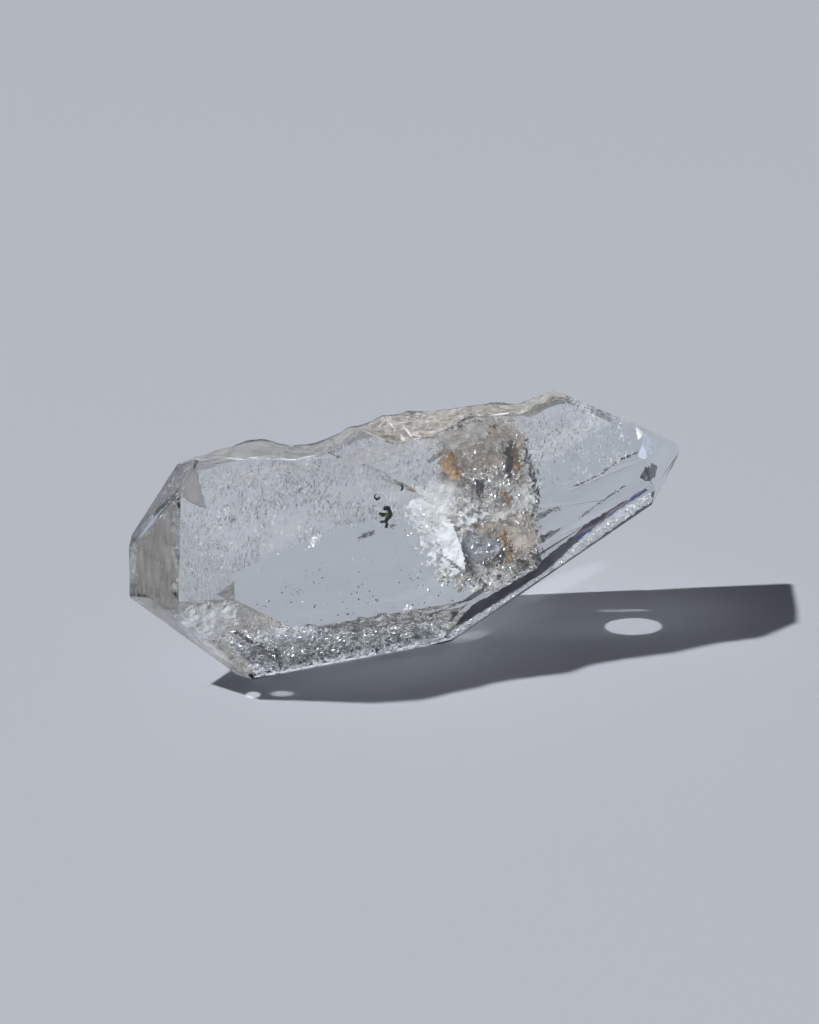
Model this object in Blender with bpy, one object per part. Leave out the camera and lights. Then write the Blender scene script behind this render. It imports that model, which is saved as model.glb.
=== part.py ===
"""A tabular, doubly terminated crystal of clear rainbow quartz standing on a narrow flat."""
import math
import random

import bmesh
import bpy
from mathutils import Matrix, Vector

MM = 0.001

# Sizes in millimetres. The long axis runs along X, the broad front face looks towards -Y.
FRONT_Y = -0.7
BACK_Y = 10.5
LEFT_X = -24.5
RIGHT_X = 43.0
BLOCK_TOP_Z = 32.0
BASE_FRONT_LEFT = (-11.5, -0.44, 0.0)

# Each flat face: turn about the long axis (0 front, 90 up, 180 back, 270 down),
# lean towards the right-hand tip, and a point that the face runs through.
FACES = {
    "front": (0.0, 0.0, (0.0, FRONT_Y, 12.0)),
    "back": (180.0, 0.0, (0.0, BACK_Y, 8.0)),
    "base": (270.0, 0.0, (0.0, 3.0, 0.0)),
    "upper_back": (160.0, 0.0, (5.8, BACK_Y, 13.9)),
    "upper_back_left": (164.0, -5.0, (-12.1, BACK_Y, 10.1)),
    "back_left": (180.0, -26.6, (-12.1, BACK_Y, 8.5)),
    "back_right": (180.0, 11.0, (17.0, BACK_Y, 8.5)),
    "lower_back": (237.0, 0.0, (5.0, BACK_Y, 1.95)),
    "lower_back_left": (228.0, -28.0, (-12.1, BACK_Y, 7.15)),
    "lower_back_right": (232.0, 24.0, (16.1, BACK_Y, 1.9)),
    "lower_front": (352.0, 0.7, (-9.2, FRONT_Y, 3.4)),
    "lower_front_left": (352.0, -4.0, (-17.2, FRONT_Y, 7.7)),
    "lower_front_right": (345.0, 7.4, (13.4, FRONT_Y, 5.3)),
    "left": (4.8, -53.0, (-19.6, FRONT_Y, 17.0)),
    "left_top": (100.0, -56.0, (-17.1, FRONT_Y, 27.6)),
    "left_top_back": (140.0, -40.0, (-18.0, 6.0, 22.9)),
    "left_under": (312.0, -41.0, BASE_FRONT_LEFT),
    "right_under": (268.6, 28.3, (12.0, 0.3, 0.0)),
    "right_top": (103.0, 28.0, (32.9, FRONT_Y, 23.9)),
    "tip_corner": (33.0, 42.0, (33.0, FRONT_Y, 23.6)),
    "tip_upper": (16.0, 43.0, (34.0, FRONT_Y, 21.6)),
    "tip_lower": (345.0, 44.0, (36.1, FRONT_Y, 16.5)),
}

# Narrow faces along the meeting lines of two faces: how deep each one is cut.
EDGE_FACES = {
    ("left", "left_top"): 0.22,
    ("front", "left_top"): 0.16,
    ("front", "tip_upper"): 0.06,
    ("tip_upper", "tip_lower"): 0.05,
    ("lower_front", "base"): 0.18,
}

# The rough top: heights (x, z) along its front edge and along its crest behind.
TOP_FRONT = (
    (-30.0, 28.0),
    (-17.1, 27.4),
    (-10.3, 26.8),
    (-7.2, 26.2),
    (-4.1, 26.4),
    (-1.4, 27.2),
    (0.9, 28.1),
    (3.3, 26.9),
    (4.9, 26.1),
    (8.8, 26.2),
    (13.2, 27.9),
    (19.1, 27.2),
    (23.0, 28.6),
    (45.0, 30.0),
)
CREST_Y = 6.0
TOP_CREST = (
    (-30.0, 24.0),
    (-15.2, 24.5),
    (-12.2, 25.2),
    (-7.8, 25.6),
    (-4.5, 23.8),
    (-2.8, 23.5),
    (1.3, 24.9),
    (6.1, 26.1),
    (9.8, 26.2),
    (12.9, 25.8),
    (18.4, 25.8),
    (21.6, 25.3),
    (26.3, 26.1),
    (45.0, 28.0),
)
TOP_CELL = 0.95
TOP_ROUGHNESS = 0.3
TOP_LUMP = 3.2
TOP_GRAIN = 1.1
TOP_LEDGE = 0.4

# Growth ledges on the back faces: start (x, z), end (x, z), width and depth.
LEDGES = (
    ((26.5, 8.7), (38.0, 12.7), 1.1, 0.35),
    ((27.5, 14.2), (37.0, 17.4), 0.9, 0.30),
    ((14.0, 12.2), (31.0, 12.6), 0.8, 0.25),
)

# Chips: how many, the box that their centres lie in, and their sizes.
FRONT_CHIPS = (24, (-14.5, 12.0), (FRONT_Y + 0.12, FRONT_Y + 0.4), (0.9, 4.2))
BACK_CHIPS = (16, (-9.0, 15.0), (9.0, 9.9), (0.9, 2.0))
CHIP_RADIUS = (0.7, 1.5)
CHIP_DEPTH = 0.42
CHIP_GAP = 0.12

QUARTZ_ROUGHNESS = 0.03
QUARTZ_IOR = 1.544


def clearScene():
    for obj in list(bpy.data.objects):
        bpy.data.objects.remove(obj, do_unlink=True)


def outward(turn, lean):
    """The unit normal of a face from its turn and lean in degrees."""
    a = math.radians(turn)
    b = math.radians(lean)
    return Vector((math.sin(b), -math.cos(b) * math.cos(a), math.cos(b) * math.sin(a)))


def newMesh(name, bm):
    bmesh.ops.recalc_face_normals(bm, faces=bm.faces)
    mesh = bpy.data.meshes.new(name)
    bm.to_mesh(mesh)
    bm.free()
    obj = bpy.data.objects.new(name, mesh)
    bpy.context.collection.objects.link(obj)
    return obj


def cutFlat(bm, point, normal):
    """Cuts away all that lies outside one plane and closes the cut."""
    everything = bm.verts[:] + bm.edges[:] + bm.faces[:]
    cut = bmesh.ops.bisect_plane(
        bm, geom=everything, plane_co=point, plane_no=normal, clear_outer=True, dist=1e-6
    )
    rim = [item for item in cut["geom_cut"] if isinstance(item, bmesh.types.BMEdge)]
    if rim:
        bmesh.ops.edgenet_fill(bm, edges=rim)


def edgePlane(first, second, depth):
    """The plane that takes the edge between two faces off at this depth."""
    n1 = outward(first[0], first[1])
    n2 = outward(second[0], second[1])
    d1 = n1.dot(Vector(first[2]))
    d2 = n2.dot(Vector(second[2]))
    both = n1.dot(n2)
    share1 = (d1 - d2 * both) / (1 - both * both)
    share2 = (d2 - d1 * both) / (1 - both * both)
    normal = (n1 + n2).normalized()
    return n1 * share1 + n2 * share2 - normal * depth, normal


def faceted():
    """The crystal as its flat faces bound it, before its rough top is cut."""
    bm = bmesh.new()
    bmesh.ops.create_cube(bm, size=1.0)
    for vert in bm.verts:
        vert.co.x = LEFT_X if vert.co.x < 0 else RIGHT_X
        vert.co.y = FRONT_Y - 2 if vert.co.y < 0 else BACK_Y + 2
        vert.co.z = -2 if vert.co.z < 0 else BLOCK_TOP_Z
    for turn, lean, point in FACES.values():
        cutFlat(bm, Vector(point), outward(turn, lean))
    for (first, second), depth in EDGE_FACES.items():
        cutFlat(bm, *edgePlane(FACES[first], FACES[second], depth))
    return newMesh("quartz_crystal", bm)


def along(profile, x):
    """Height of a profile of (x, z) points at this x."""
    for (x0, z0), (x1, z1) in zip(profile, profile[1:]):
        if x <= x1:
            return z0 + (z1 - z0) * (x - x0) / (x1 - x0)
    return profile[-1][1]


def latticeValue(i, j, layer):
    return random.Random(f"{i} {j} {layer}").uniform(-1, 1)


def unevenness(x, y, layer):
    """Smooth seeded noise between -1 and 1, one lattice value for each whole x and y."""
    i = math.floor(x)
    j = math.floor(y)
    u = (x - i) ** 2 * (3 - 2 * (x - i))
    v = (y - j) ** 2 * (3 - 2 * (y - j))
    near = latticeValue(i, j, layer) * (1 - u) + latticeValue(i + 1, j, layer) * u
    far = latticeValue(i, j + 1, layer) * (1 - u) + latticeValue(i + 1, j + 1, layer) * u
    return near * (1 - v) + far * v


def topHeight(x, y):
    """Height of the rough top: a slope from its front edge to its crest, broken into ledges."""
    back = min(max((y - FRONT_Y) / (CREST_Y - FRONT_Y), 0.0), 1.0)
    slope = along(TOP_FRONT, x) * (1 - back) + along(TOP_CREST, x) * back
    lumps = unevenness(x / TOP_LUMP, y / TOP_LUMP, "lumps")
    grain = unevenness(x / TOP_GRAIN, y / TOP_GRAIN, "grain")
    rough = TOP_ROUGHNESS * (lumps + grain)
    ledge = round(rough / TOP_LEDGE) * TOP_LEDGE
    return slope + 0.5 * rough + 0.5 * ledge


def topCutter():
    """A block above the crystal whose underside is the rough top."""
    bm = bmesh.new()
    columns = round((RIGHT_X - LEFT_X + 6) / TOP_CELL)
    rows = round((BACK_Y - FRONT_Y + 4) / TOP_CELL)
    under = []
    over = []
    for i in range(columns + 1):
        x = LEFT_X - 3 + i * TOP_CELL
        under.append([])
        over.append([])
        for j in range(rows + 1):
            y = FRONT_Y - 2 + j * TOP_CELL
            sideways = 0.22 * TOP_CELL * latticeValue(i, j, "sideways")
            endways = 0.22 * TOP_CELL * latticeValue(i, j, "endways")
            under[i].append(bm.verts.new((x + endways, y + sideways, topHeight(x, y))))
            over[i].append(bm.verts.new((x, y, BLOCK_TOP_Z + 6)))
    for i in range(columns):
        for j in range(rows):
            bm.faces.new((under[i][j], under[i + 1][j], under[i + 1][j + 1], under[i][j + 1]))
            bm.faces.new((over[i][j], over[i][j + 1], over[i + 1][j + 1], over[i + 1][j]))
        for j in (0, rows):
            bm.faces.new((under[i][j], over[i][j], over[i + 1][j], under[i + 1][j]))
    for j in range(rows):
        for i in (0, columns):
            bm.faces.new((under[i][j], under[i][j + 1], over[i][j + 1], over[i][j]))
    return newMesh("top_cutter", bm)


def onBack(x, z):
    """The point of the back of the crystal at this x and z."""
    depths = []
    for name in ("back", "back_right", "upper_back"):
        turn, lean, point = FACES[name]
        n = outward(turn, lean)
        depths.append((n.dot(Vector(point)) - n.x * x - n.z * z) / n.y)
    return Vector((x, min(depths), z))


def ledgeCutter(start, end, width, depth):
    """A long notch in a back face, steep on its lower side and tapering to both ends."""
    rise = Vector((start[1] - end[1], 0, end[0] - start[0])).normalized() * width
    out = Vector((0, 1, 0))
    bm = bmesh.new()
    rings = []
    for share, size in ((-0.05, 0.1), (0.3, 1.0), (0.65, 0.8), (1.05, 0.1)):
        x = start[0] + (end[0] - start[0]) * share
        z = start[1] + (end[1] - start[1]) * share
        foot = onBack(x, z) - out * depth * size
        brow = onBack(x + rise.x * size, z + rise.z * size) + out * 0.05
        rings.append([bm.verts.new(p) for p in (foot, brow, brow + out, foot + out * (depth + 1))])
    bm.faces.new(rings[0])
    bm.faces.new(list(reversed(rings[-1])))
    for near, far in zip(rings, rings[1:]):
        for k in range(4):
            m = (k + 1) % 4
            bm.faces.new((near[k], far[k], far[m], near[m]))
    return newMesh("ledge_cutter", bm)


def chipCutter(rng, count, x_range, y_range, z_range, outside):
    """Irregular shallow lumps that bite chips from the broken lower edges."""
    bm = bmesh.new()
    placed = []
    tries = 0
    while len(placed) < count and tries < count * 60:
        tries += 1
        radius = rng.uniform(*CHIP_RADIUS)
        centre = Vector((rng.uniform(*x_range), rng.uniform(*y_range), rng.uniform(*z_range)))
        if any((centre - c).length < radius + r + CHIP_GAP for c, r in placed):
            continue
        placed.append((centre, radius))
        made = bmesh.ops.create_icosphere(bm, subdivisions=1, radius=1.0)["verts"]
        spin = Matrix.Rotation(rng.uniform(0, math.tau), 3, "Y")
        flat = rng.uniform(0.45, 0.8)
        middle = centre + Vector((0, outside * (radius * 0.8 - CHIP_DEPTH), 0))
        for vert in made:
            swell = radius * (1 + 0.3 * rng.uniform(-1, 1))
            lump = Vector((vert.co.x * swell, vert.co.y * 0.8 * radius, vert.co.z * flat * swell))
            vert.co = middle + spin @ lump
    return newMesh("chip_cutter", bm)


def subtract(body, cutter):
    modifier = body.modifiers.new("cut", "BOOLEAN")
    modifier.operation = "DIFFERENCE"
    modifier.solver = "EXACT"
    modifier.object = cutter
    cutter.hide_render = True
    cutter.display_type = "WIRE"


def baked(body):
    """The body with its cuts applied, and its cutters removed."""
    bpy.context.view_layer.update()
    graph = bpy.context.evaluated_depsgraph_get()
    mesh = bpy.data.meshes.new_from_object(body.evaluated_get(graph))
    body.modifiers.clear()
    body.data = mesh
    for obj in list(bpy.data.objects):
        if obj is not body:
            bpy.data.objects.remove(obj, do_unlink=True)


def toPlace(body):
    """Metres, with the origin at the middle of the underside's bounding box."""
    bm = bmesh.new()
    bm.from_mesh(body.data)
    bmesh.ops.remove_doubles(bm, verts=bm.verts, dist=0.004)
    bmesh.ops.triangulate(bm, faces=bm.faces)
    low = Vector([min(v.co[k] for v in bm.verts) for k in range(3)])
    high = Vector([max(v.co[k] for v in bm.verts) for k in range(3)])
    middle = Vector(((low.x + high.x) / 2, (low.y + high.y) / 2, low.z))
    for vert in bm.verts:
        vert.co = (vert.co - middle) * MM
    bmesh.ops.recalc_face_normals(bm, faces=bm.faces)
    bm.to_mesh(body.data)
    bm.free()


def quartzMaterial():
    material = bpy.data.materials.new("clear_quartz")
    material.use_nodes = True
    shader = material.node_tree.nodes["Principled BSDF"]
    shader.inputs["Base Color"].default_value = (0.95, 0.96, 0.97, 1.0)
    shader.inputs["Roughness"].default_value = QUARTZ_ROUGHNESS
    shader.inputs["IOR"].default_value = QUARTZ_IOR
    shader.inputs["Transmission Weight"].default_value = 1.0
    return material


def quartzCrystal():
    rng = random.Random(7)
    body = faceted()
    subtract(body, topCutter())
    for ledge in LEDGES:
        subtract(body, ledgeCutter(*ledge))
    subtract(body, chipCutter(rng, *FRONT_CHIPS, outside=-1))
    subtract(body, chipCutter(rng, *BACK_CHIPS, outside=1))
    baked(body)
    toPlace(body)
    body.data.materials.clear()
    body.data.materials.append(quartzMaterial())


clearScene()
quartzCrystal()
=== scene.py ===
import math
import random

import bpy
from mathutils import Euler, Matrix, Vector
from mathutils.bvhtree import BVHTree


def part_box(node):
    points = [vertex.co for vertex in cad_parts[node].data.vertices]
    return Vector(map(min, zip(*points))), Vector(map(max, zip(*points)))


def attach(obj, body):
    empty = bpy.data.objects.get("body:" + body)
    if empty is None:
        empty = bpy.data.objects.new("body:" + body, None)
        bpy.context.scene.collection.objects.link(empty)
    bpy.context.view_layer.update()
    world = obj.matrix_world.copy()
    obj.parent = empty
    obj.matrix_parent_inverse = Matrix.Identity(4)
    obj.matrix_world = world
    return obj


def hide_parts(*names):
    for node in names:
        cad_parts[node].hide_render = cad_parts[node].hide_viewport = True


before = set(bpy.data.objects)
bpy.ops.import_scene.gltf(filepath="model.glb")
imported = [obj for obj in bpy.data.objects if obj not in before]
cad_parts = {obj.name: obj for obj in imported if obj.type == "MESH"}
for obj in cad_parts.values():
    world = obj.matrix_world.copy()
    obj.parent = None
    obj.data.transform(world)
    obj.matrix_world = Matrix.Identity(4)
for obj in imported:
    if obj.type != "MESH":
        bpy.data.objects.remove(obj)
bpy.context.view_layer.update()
mm = 0.001
innerPieces = []


# shared helpers

def rgb(code):  # sRGB hex to the linear colour that a shader takes
    parts = [int(code[k:k + 2], 16) / 255 for k in (1, 3, 5)]
    linear = [c / 12.92 if c <= 0.04045 else ((c + 0.055) / 1.055) ** 2.4 for c in parts]
    return (*linear, 1.0)


def newMaterial(name):
    material = bpy.data.materials.new(name)
    material.use_nodes = True
    tree = material.node_tree
    return material, tree, tree.nodes["Principled BSDF"]


def addNode(tree, kind, settings=None, links=None):  # one node, its settings and its links
    node = tree.nodes.new(kind)
    for key, value in (settings or {}).items():
        if hasattr(node, key):
            setattr(node, key, value)
        else:
            node.inputs[key].default_value = value
    for key, socket in (links or {}).items():
        tree.links.new(socket, node.inputs[key])
    return node


def setRamp(node, stops):  # stops are pairs of place and grey value or colour
    elements = node.color_ramp.elements
    while len(elements) > 1:
        elements.remove(elements[-1])
    for k, (place, value) in enumerate(stops):
        element = elements[0] if k == 0 else elements.new(place)
        element.position = place
        element.color = value if isinstance(value, tuple) else (value, value, value, 1.0)
    return node.outputs["Color"]


def inMillimetres(tree, scale=(1, 1, 1), move=(0, 0, 0), turn=(0, 0, 0)):
    # object coordinates in millimetres, times a scale for each axis
    spot = addNode(tree, "ShaderNodeTexCoord")
    settings = {"Location": move, "Rotation": turn, "Scale": [s / mm for s in scale]}
    node = addNode(tree, "ShaderNodeMapping", settings, {"Vector": spot.outputs["Object"]})
    return node.outputs["Vector"]


def choose(obj):
    if bpy.context.mode != "OBJECT":
        bpy.ops.object.mode_set(mode="OBJECT")
    bpy.ops.object.select_all(action="DESELECT")
    obj.select_set(True)
    bpy.context.view_layer.objects.active = obj


def applyModifier(obj, kind, **settings):
    choose(obj)
    modifier = obj.modifiers.new(kind.lower(), kind)
    for key, value in settings.items():
        setattr(modifier, key, value)
    bpy.ops.object.modifier_apply(modifier=modifier.name)


def applyPlace(obj):
    choose(obj)
    bpy.ops.object.transform_apply(location=True, rotation=True, scale=True)


def deleteFaces(obj, unwanted):  # deletes the faces that the test picks
    choose(obj)
    bpy.ops.object.mode_set(mode="EDIT")
    bpy.ops.mesh.select_mode(type="FACE")
    bpy.ops.mesh.select_all(action="DESELECT")
    bpy.ops.object.mode_set(mode="OBJECT")
    for face in obj.data.polygons:
        face.select = unwanted(face.center / mm)
    bpy.ops.object.mode_set(mode="EDIT")
    bpy.ops.mesh.delete(type="FACE")
    bpy.ops.mesh.select_all(action="SELECT")
    bpy.ops.mesh.delete_loose()
    bpy.ops.object.mode_set(mode="OBJECT")


def finishPiece(obj, name, material=None):
    obj.name = name
    obj.data.name = name
    if material is not None:
        obj.data.materials.clear()
        obj.data.materials.append(material)
    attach(obj, "root")


def insideOutline(x, z, outline):
    inside = False
    for (ax, az), (bx, bz) in zip(outline, outline[1:] + outline[:1]):
        if (az > z) != (bz > z) and x < (bx - ax) * (z - az) / (bz - az) + ax:
            inside = not inside
    return inside


# the crystal itself

crystal = {
    "weldWithin": 0.003,      # the solid's doubled corners are joined
    "flatWithin": 0.6,        # degrees, faces flatter than this are joined
    "bevel": 0.11,            # width of the worn edges
    "bevelLeast": 4.0,        # edges shorter than this stay sharp
    "bevelFrom": 14.0,        # degrees, flatter edges stay sharp too
    "topFrom": 20.0,          # the rough top lies above this height
    "topTo": 19.5,            # and left of this place
    "topFacet": 4.0,          # its facets up to this area are cut finer, in square millimetres
    "topPatch": 6.0,          # and up to this area they get its finish
    "topCuts": 2,
    "topFractal": 0.3,
    "ior": 1.544,
    "tint": "#f1f4f5",
    "density": 1.6,           # absorption in a metre of stone
    # painted shade: the wide back face is tinted darker, so the view through it looks dimmer
    "clearColour": "#fbfcfd",
    "shadedBackColour": "#d8dcdf",   # the wide back face
    "topRoughness": 0.3,
    "wornRoughness": 0.35,
    "brokenRoughness": 0.05,
    "clouds": {               # waves in a millimetre along each axis, detail, and shift
        "nicks": ((1.6, 1.6, 1.6), 4.0, (0, 0, 0)),
        "stain": ((0.16, 0.3, 0.3), 3.0, (0.4, 0, 0)),
        "dashes": ((5.0, 1.5, 1.3), 5.0, (4, 0, 2)),
        "patches": ((0.3, 0.3, 0.22), 3.0, (1, 2, 8)),
        "striae": ((1 / 0.3, 0.3, 0.045), 4.0, (0, 0, 0)),
        "grit": ((2.4, 2.4, 2.4), 8.0, (0, 0, 0)),
    },
    "relief": {               # strength and depth of each roughness
        "striae": (0.06, 0.06),
        "dashes": (0.6, 0.1),
        "grit": (0.7, 0.25),
        "steps": (0.5, 0.3),
        "nicks": (0.6, 0.1),
    },
}
faceMarks = {                 # what a face tells its material: top, worn, broken, share of etching
    "etched": (0, 0, 0, 1),
    "top": (1, 0, 0, 0.3),
    "broken": (0, 0, 1, 0.3),
    "worn": (0, 1, 0, 0.3),
    "dim": (0, 0, 0, 0),
    "smooth": (0, 0, 0, 0.12),
}


def quartz():
    # rock quartz: glassy grown faces with faint striations, shallow etched dashes on most of them, a
    # pitted and brownish broken top, rubbed edges that show as pale lines, a lower edge broken in steps
    material, tree, shader = newMaterial("clear_rock_quartz")
    finish = addNode(tree, "ShaderNodeAttribute", {"attribute_name": "finish"})
    parts = addNode(tree, "ShaderNodeSeparateColor", {}, {"Color": finish.outputs["Color"]})
    top, worn, broken = (parts.outputs[k] for k in range(3))
    clouds = {}
    for key, (scale, detail, move) in crystal["clouds"].items():
        node = addNode(tree, "ShaderNodeTexNoise", {"Scale": 1.0, "Detail": detail, "Roughness": 0.65},
                       {"Vector": inMillimetres(tree, scale, move)})
        clouds[key] = node.outputs["Fac"]

    # colour: clear, dimmer on the back as painted shade, brownish on the top, pale on the rubbed edges
    dim = setRamp(addNode(tree, "ShaderNodeValToRGB", {}, {"Fac": finish.outputs["Alpha"]}),
                  [(0.05, rgb(crystal["shadedBackColour"])), (0.1, rgb(crystal["clearColour"]))])
    brown = setRamp(addNode(tree, "ShaderNodeValToRGB", {}, {"Fac": clouds["stain"]}),
                    [(0.0, rgb("#f6f6f5")), (0.5, rgb("#f0eeeb")),
                     (0.64, rgb("#e2d6c8")), (1.0, rgb("#cfbeab"))])
    pale = setRamp(addNode(tree, "ShaderNodeValToRGB", {}, {"Fac": clouds["nicks"]}),
                   [(0.0, rgb("#dfe2e6")), (0.45, rgb("#f4f6f9")), (1.0, rgb("#fdfdff"))])
    stained = addNode(tree, "ShaderNodeMix", {"data_type": "RGBA"}, {0: top, 6: dim, 7: brown})
    tone = addNode(tree, "ShaderNodeMix", {"data_type": "RGBA"}, {0: worn, 6: stained.outputs[2], 7: pale})
    tree.links.new(tone.outputs[2], shader.inputs["Base Color"])
    rough = addNode(tree, "ShaderNodeMath", {"operation": "MULTIPLY"}, {0: top})
    rough.inputs[1].default_value = crystal["topRoughness"]
    for mask, value in ((worn, crystal["wornRoughness"]), (broken, crystal["brokenRoughness"])):
        links = {0: mask, 2: rough.outputs["Value"]}
        rough = addNode(tree, "ShaderNodeMath", {"operation": "MULTIPLY_ADD"}, links)
        rough.inputs[1].default_value = value
    tree.links.new(rough.outputs["Value"], shader.inputs["Roughness"])

    # relief: each roughness on its own kind of face
    dashes = setRamp(addNode(tree, "ShaderNodeValToRGB", {}, {"Fac": clouds["dashes"]}),
                     [(0.0, 0.5), (0.53, 0.5), (0.66, 0.0), (1.0, 0.0)])
    patches = addNode(tree, "ShaderNodeMapRange",
                      {"From Min": 0.42, "From Max": 0.6, "To Min": 0.15, "To Max": 1.0},
                      {"Value": clouds["patches"]})
    etched = addNode(tree, "ShaderNodeMath", {"operation": "MULTIPLY"},
                     {0: finish.outputs["Alpha"], 1: patches.outputs["Result"]})
    steps = addNode(tree, "ShaderNodeTexVoronoi", {"Scale": 1.0},
                    {"Vector": inMillimetres(tree, (1.3, 1.6, 2.2))})
    heights = {"striae": (clouds["striae"], None), "dashes": (dashes, etched.outputs["Value"]),
               "grit": (clouds["grit"], top), "steps": (steps.outputs["Distance"], broken),
               "nicks": (clouds["nicks"], worn)}
    normal = None
    for key, (height, mask) in heights.items():
        strength, deep = crystal["relief"][key]
        bump = addNode(tree, "ShaderNodeBump", {"Strength": strength, "Distance": deep * mm},
                       {"Height": height})
        if mask:
            share = addNode(tree, "ShaderNodeMath", {"operation": "MULTIPLY"}, {0: mask})
            share.inputs[1].default_value = strength
            tree.links.new(share.outputs["Value"], bump.inputs["Strength"])
        if normal:
            tree.links.new(normal, bump.inputs["Normal"])
        normal = bump.outputs["Normal"]
    tree.links.new(normal, shader.inputs["Normal"])
    shader.inputs["IOR"].default_value = crystal["ior"]
    shader.inputs["Transmission Weight"].default_value = 1.0
    absorb = addNode(tree, "ShaderNodeVolumeAbsorption", {"Density": crystal["density"]})
    absorb.inputs["Color"].default_value = rgb(crystal["tint"])
    tree.links.new(absorb.outputs["Volume"], tree.nodes["Material Output"].inputs["Volume"])
    return material


def kindOfFace(face):
    c = face.center / mm
    n = face.normal
    onTop = c.z > crystal["topFrom"] and c.x < crystal["topTo"] and n.z > 0.5
    if onTop and face.area < crystal["topPatch"] * mm ** 2:
        return "top"
    if n.z < -0.3 and c.z < 2.5 and c.x < 5:  # the stepped lower edge
        return "broken"
    if n.y > 0.97 and abs(n.z) < 0.05:  # the wide back face
        return "dim"
    return "smooth" if n.y < -0.6 else "etched"  # the broad front is smooth


def makeCrystal():
    print("crystal: copying the solid's mesh and wearing its edges")
    low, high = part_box("quartz_crystal")
    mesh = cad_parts["quartz_crystal"].data.copy()
    body = bpy.data.objects.new("crystal_body", mesh)
    bpy.context.collection.objects.link(body)
    choose(body)
    bpy.ops.object.mode_set(mode="EDIT")
    bpy.ops.mesh.select_all(action="SELECT")
    bpy.ops.mesh.remove_doubles(threshold=crystal["weldWithin"] * mm)
    bpy.ops.mesh.dissolve_limited(angle_limit=math.radians(crystal["flatWithin"]))
    bpy.ops.mesh.select_all(action="DESELECT")
    bpy.ops.object.mode_set(mode="OBJECT")
    for face in body.data.polygons:
        onTop = face.center.z > crystal["topFrom"] * mm and face.normal.z > 0.6
        face.select = onTop and face.area < crystal["topFacet"] * mm ** 2
    bpy.ops.object.mode_set(mode="EDIT")
    bpy.ops.mesh.subdivide(number_cuts=crystal["topCuts"], fractal=crystal["topFractal"],
                           fractal_along_normal=1.0, seed=4)
    bpy.ops.object.mode_set(mode="OBJECT")
    kinds = list(faceMarks)
    body.data.materials.clear()
    for kind in kinds:  # the material number holds the kind of face until its mark is written
        body.data.materials.append(None)
    for face in body.data.polygons:
        face.material_index = kinds.index(kindOfFace(face))
    # the long edges are rubbed round, the broken top's and the chips' stay as they are
    faceOf = {}
    for face in body.data.polygons:
        for key in face.edge_keys:
            faceOf.setdefault(key, []).append(face)
    bpy.ops.object.mode_set(mode="EDIT")
    bpy.ops.mesh.select_mode(type="EDGE")
    bpy.ops.mesh.select_all(action="DESELECT")
    bpy.ops.object.mode_set(mode="OBJECT")
    verts = body.data.vertices
    for edge in body.data.edges:
        first, second = (verts[k].co for k in edge.vertices)
        pair = faceOf[edge.key]
        sharp = pair[0].normal.angle(pair[1].normal) > math.radians(crystal["bevelFrom"])
        edge.select = sharp and (first - second).length > crystal["bevelLeast"] * mm
    bpy.ops.object.mode_set(mode="EDIT")
    bpy.ops.mesh.bevel(offset=crystal["bevel"] * mm, segments=1, affect="EDGES", clamp_overlap=True,
                       material=kinds.index("worn"))
    bpy.ops.object.mode_set(mode="OBJECT")
    for vert in body.data.vertices:
        for k in range(3):
            vert.co[k] = min(max(vert.co[k], low[k]), high[k])
    finish = body.data.color_attributes.new("finish", "FLOAT_COLOR", "CORNER")
    for face in body.data.polygons:
        for k in face.loop_indices:
            finish.data[k].color = faceMarks[kinds[face.material_index]]
        face.material_index = 0
        face.use_smooth = False
    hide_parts("quartz_crystal")
    finishPiece(body, "crystal_body", quartz())
    return body


def keepInside(obj, least=0.05):  # draws back what comes within this distance of the stone's surface
    for vert in obj.data.vertices:
        near, normal, index, distance = stoneTree.find_nearest(vert.co)
        if (vert.co - near).dot(normal) > -least * mm:
            vert.co = near - normal * least * mm


topSkin = {
    "inset": 0.2,             # below the broken top
    "side": 0.25,             # least distance from the stone's front and back
    "thick": 0.03,
    "paleTo": -12.0,          # pale left of here
    "brownFrom": -4.0,        # brownish right of here
}


def crushedQuartz():
    # crushed quartz with a little iron: pale and see-through at the left, brownish and denser to the right
    material, tree, shader = newMaterial("crushed_quartz_skin")
    along = addNode(tree, "ShaderNodeSeparateXYZ", {}, {"Vector": inMillimetres(tree)})
    iron = addNode(tree, "ShaderNodeMapRange",
                   {"From Min": topSkin["paleTo"], "From Max": topSkin["brownFrom"]},
                   {"Value": along.outputs["X"]})
    grit = addNode(tree, "ShaderNodeTexNoise", {"Scale": 1.0, "Detail": 7.0, "Roughness": 0.75},
                   {"Vector": inMillimetres(tree, (1.7, 1.7, 2.2))})
    grey = setRamp(addNode(tree, "ShaderNodeValToRGB", {}, {"Fac": grit.outputs["Fac"]}),
                   [(0.36, rgb("#8b8e91")), (0.62, rgb("#c6c9cc"))])
    brown = setRamp(addNode(tree, "ShaderNodeValToRGB", {}, {"Fac": grit.outputs["Fac"]}),
                    [(0.36, rgb("#5a534c")), (0.47, rgb("#8f8b86")), (0.6, rgb("#c3c2c1"))])
    share = iron.outputs["Result"]
    tone = addNode(tree, "ShaderNodeMix", {"data_type": "RGBA"}, {0: share, 6: grey, 7: brown})
    cover = addNode(tree, "ShaderNodeMapRange", {"To Min": 0.45, "To Max": 0.75}, {"Value": share})
    thick = addNode(tree, "ShaderNodeMath", {"operation": "MULTIPLY"},
                    {0: cover.outputs["Result"], 1: grit.outputs["Fac"]})
    alpha = addNode(tree, "ShaderNodeMapRange",
                    {"From Min": 0.1, "From Max": 0.45, "To Min": 0.05, "To Max": 0.65},
                    {"Value": thick.outputs["Value"]})
    shader.inputs["Roughness"].default_value = 0.5
    tree.links.new(tone.outputs[2], shader.inputs["Base Color"])
    tree.links.new(alpha.outputs["Result"], shader.inputs["Alpha"])
    return material


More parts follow.
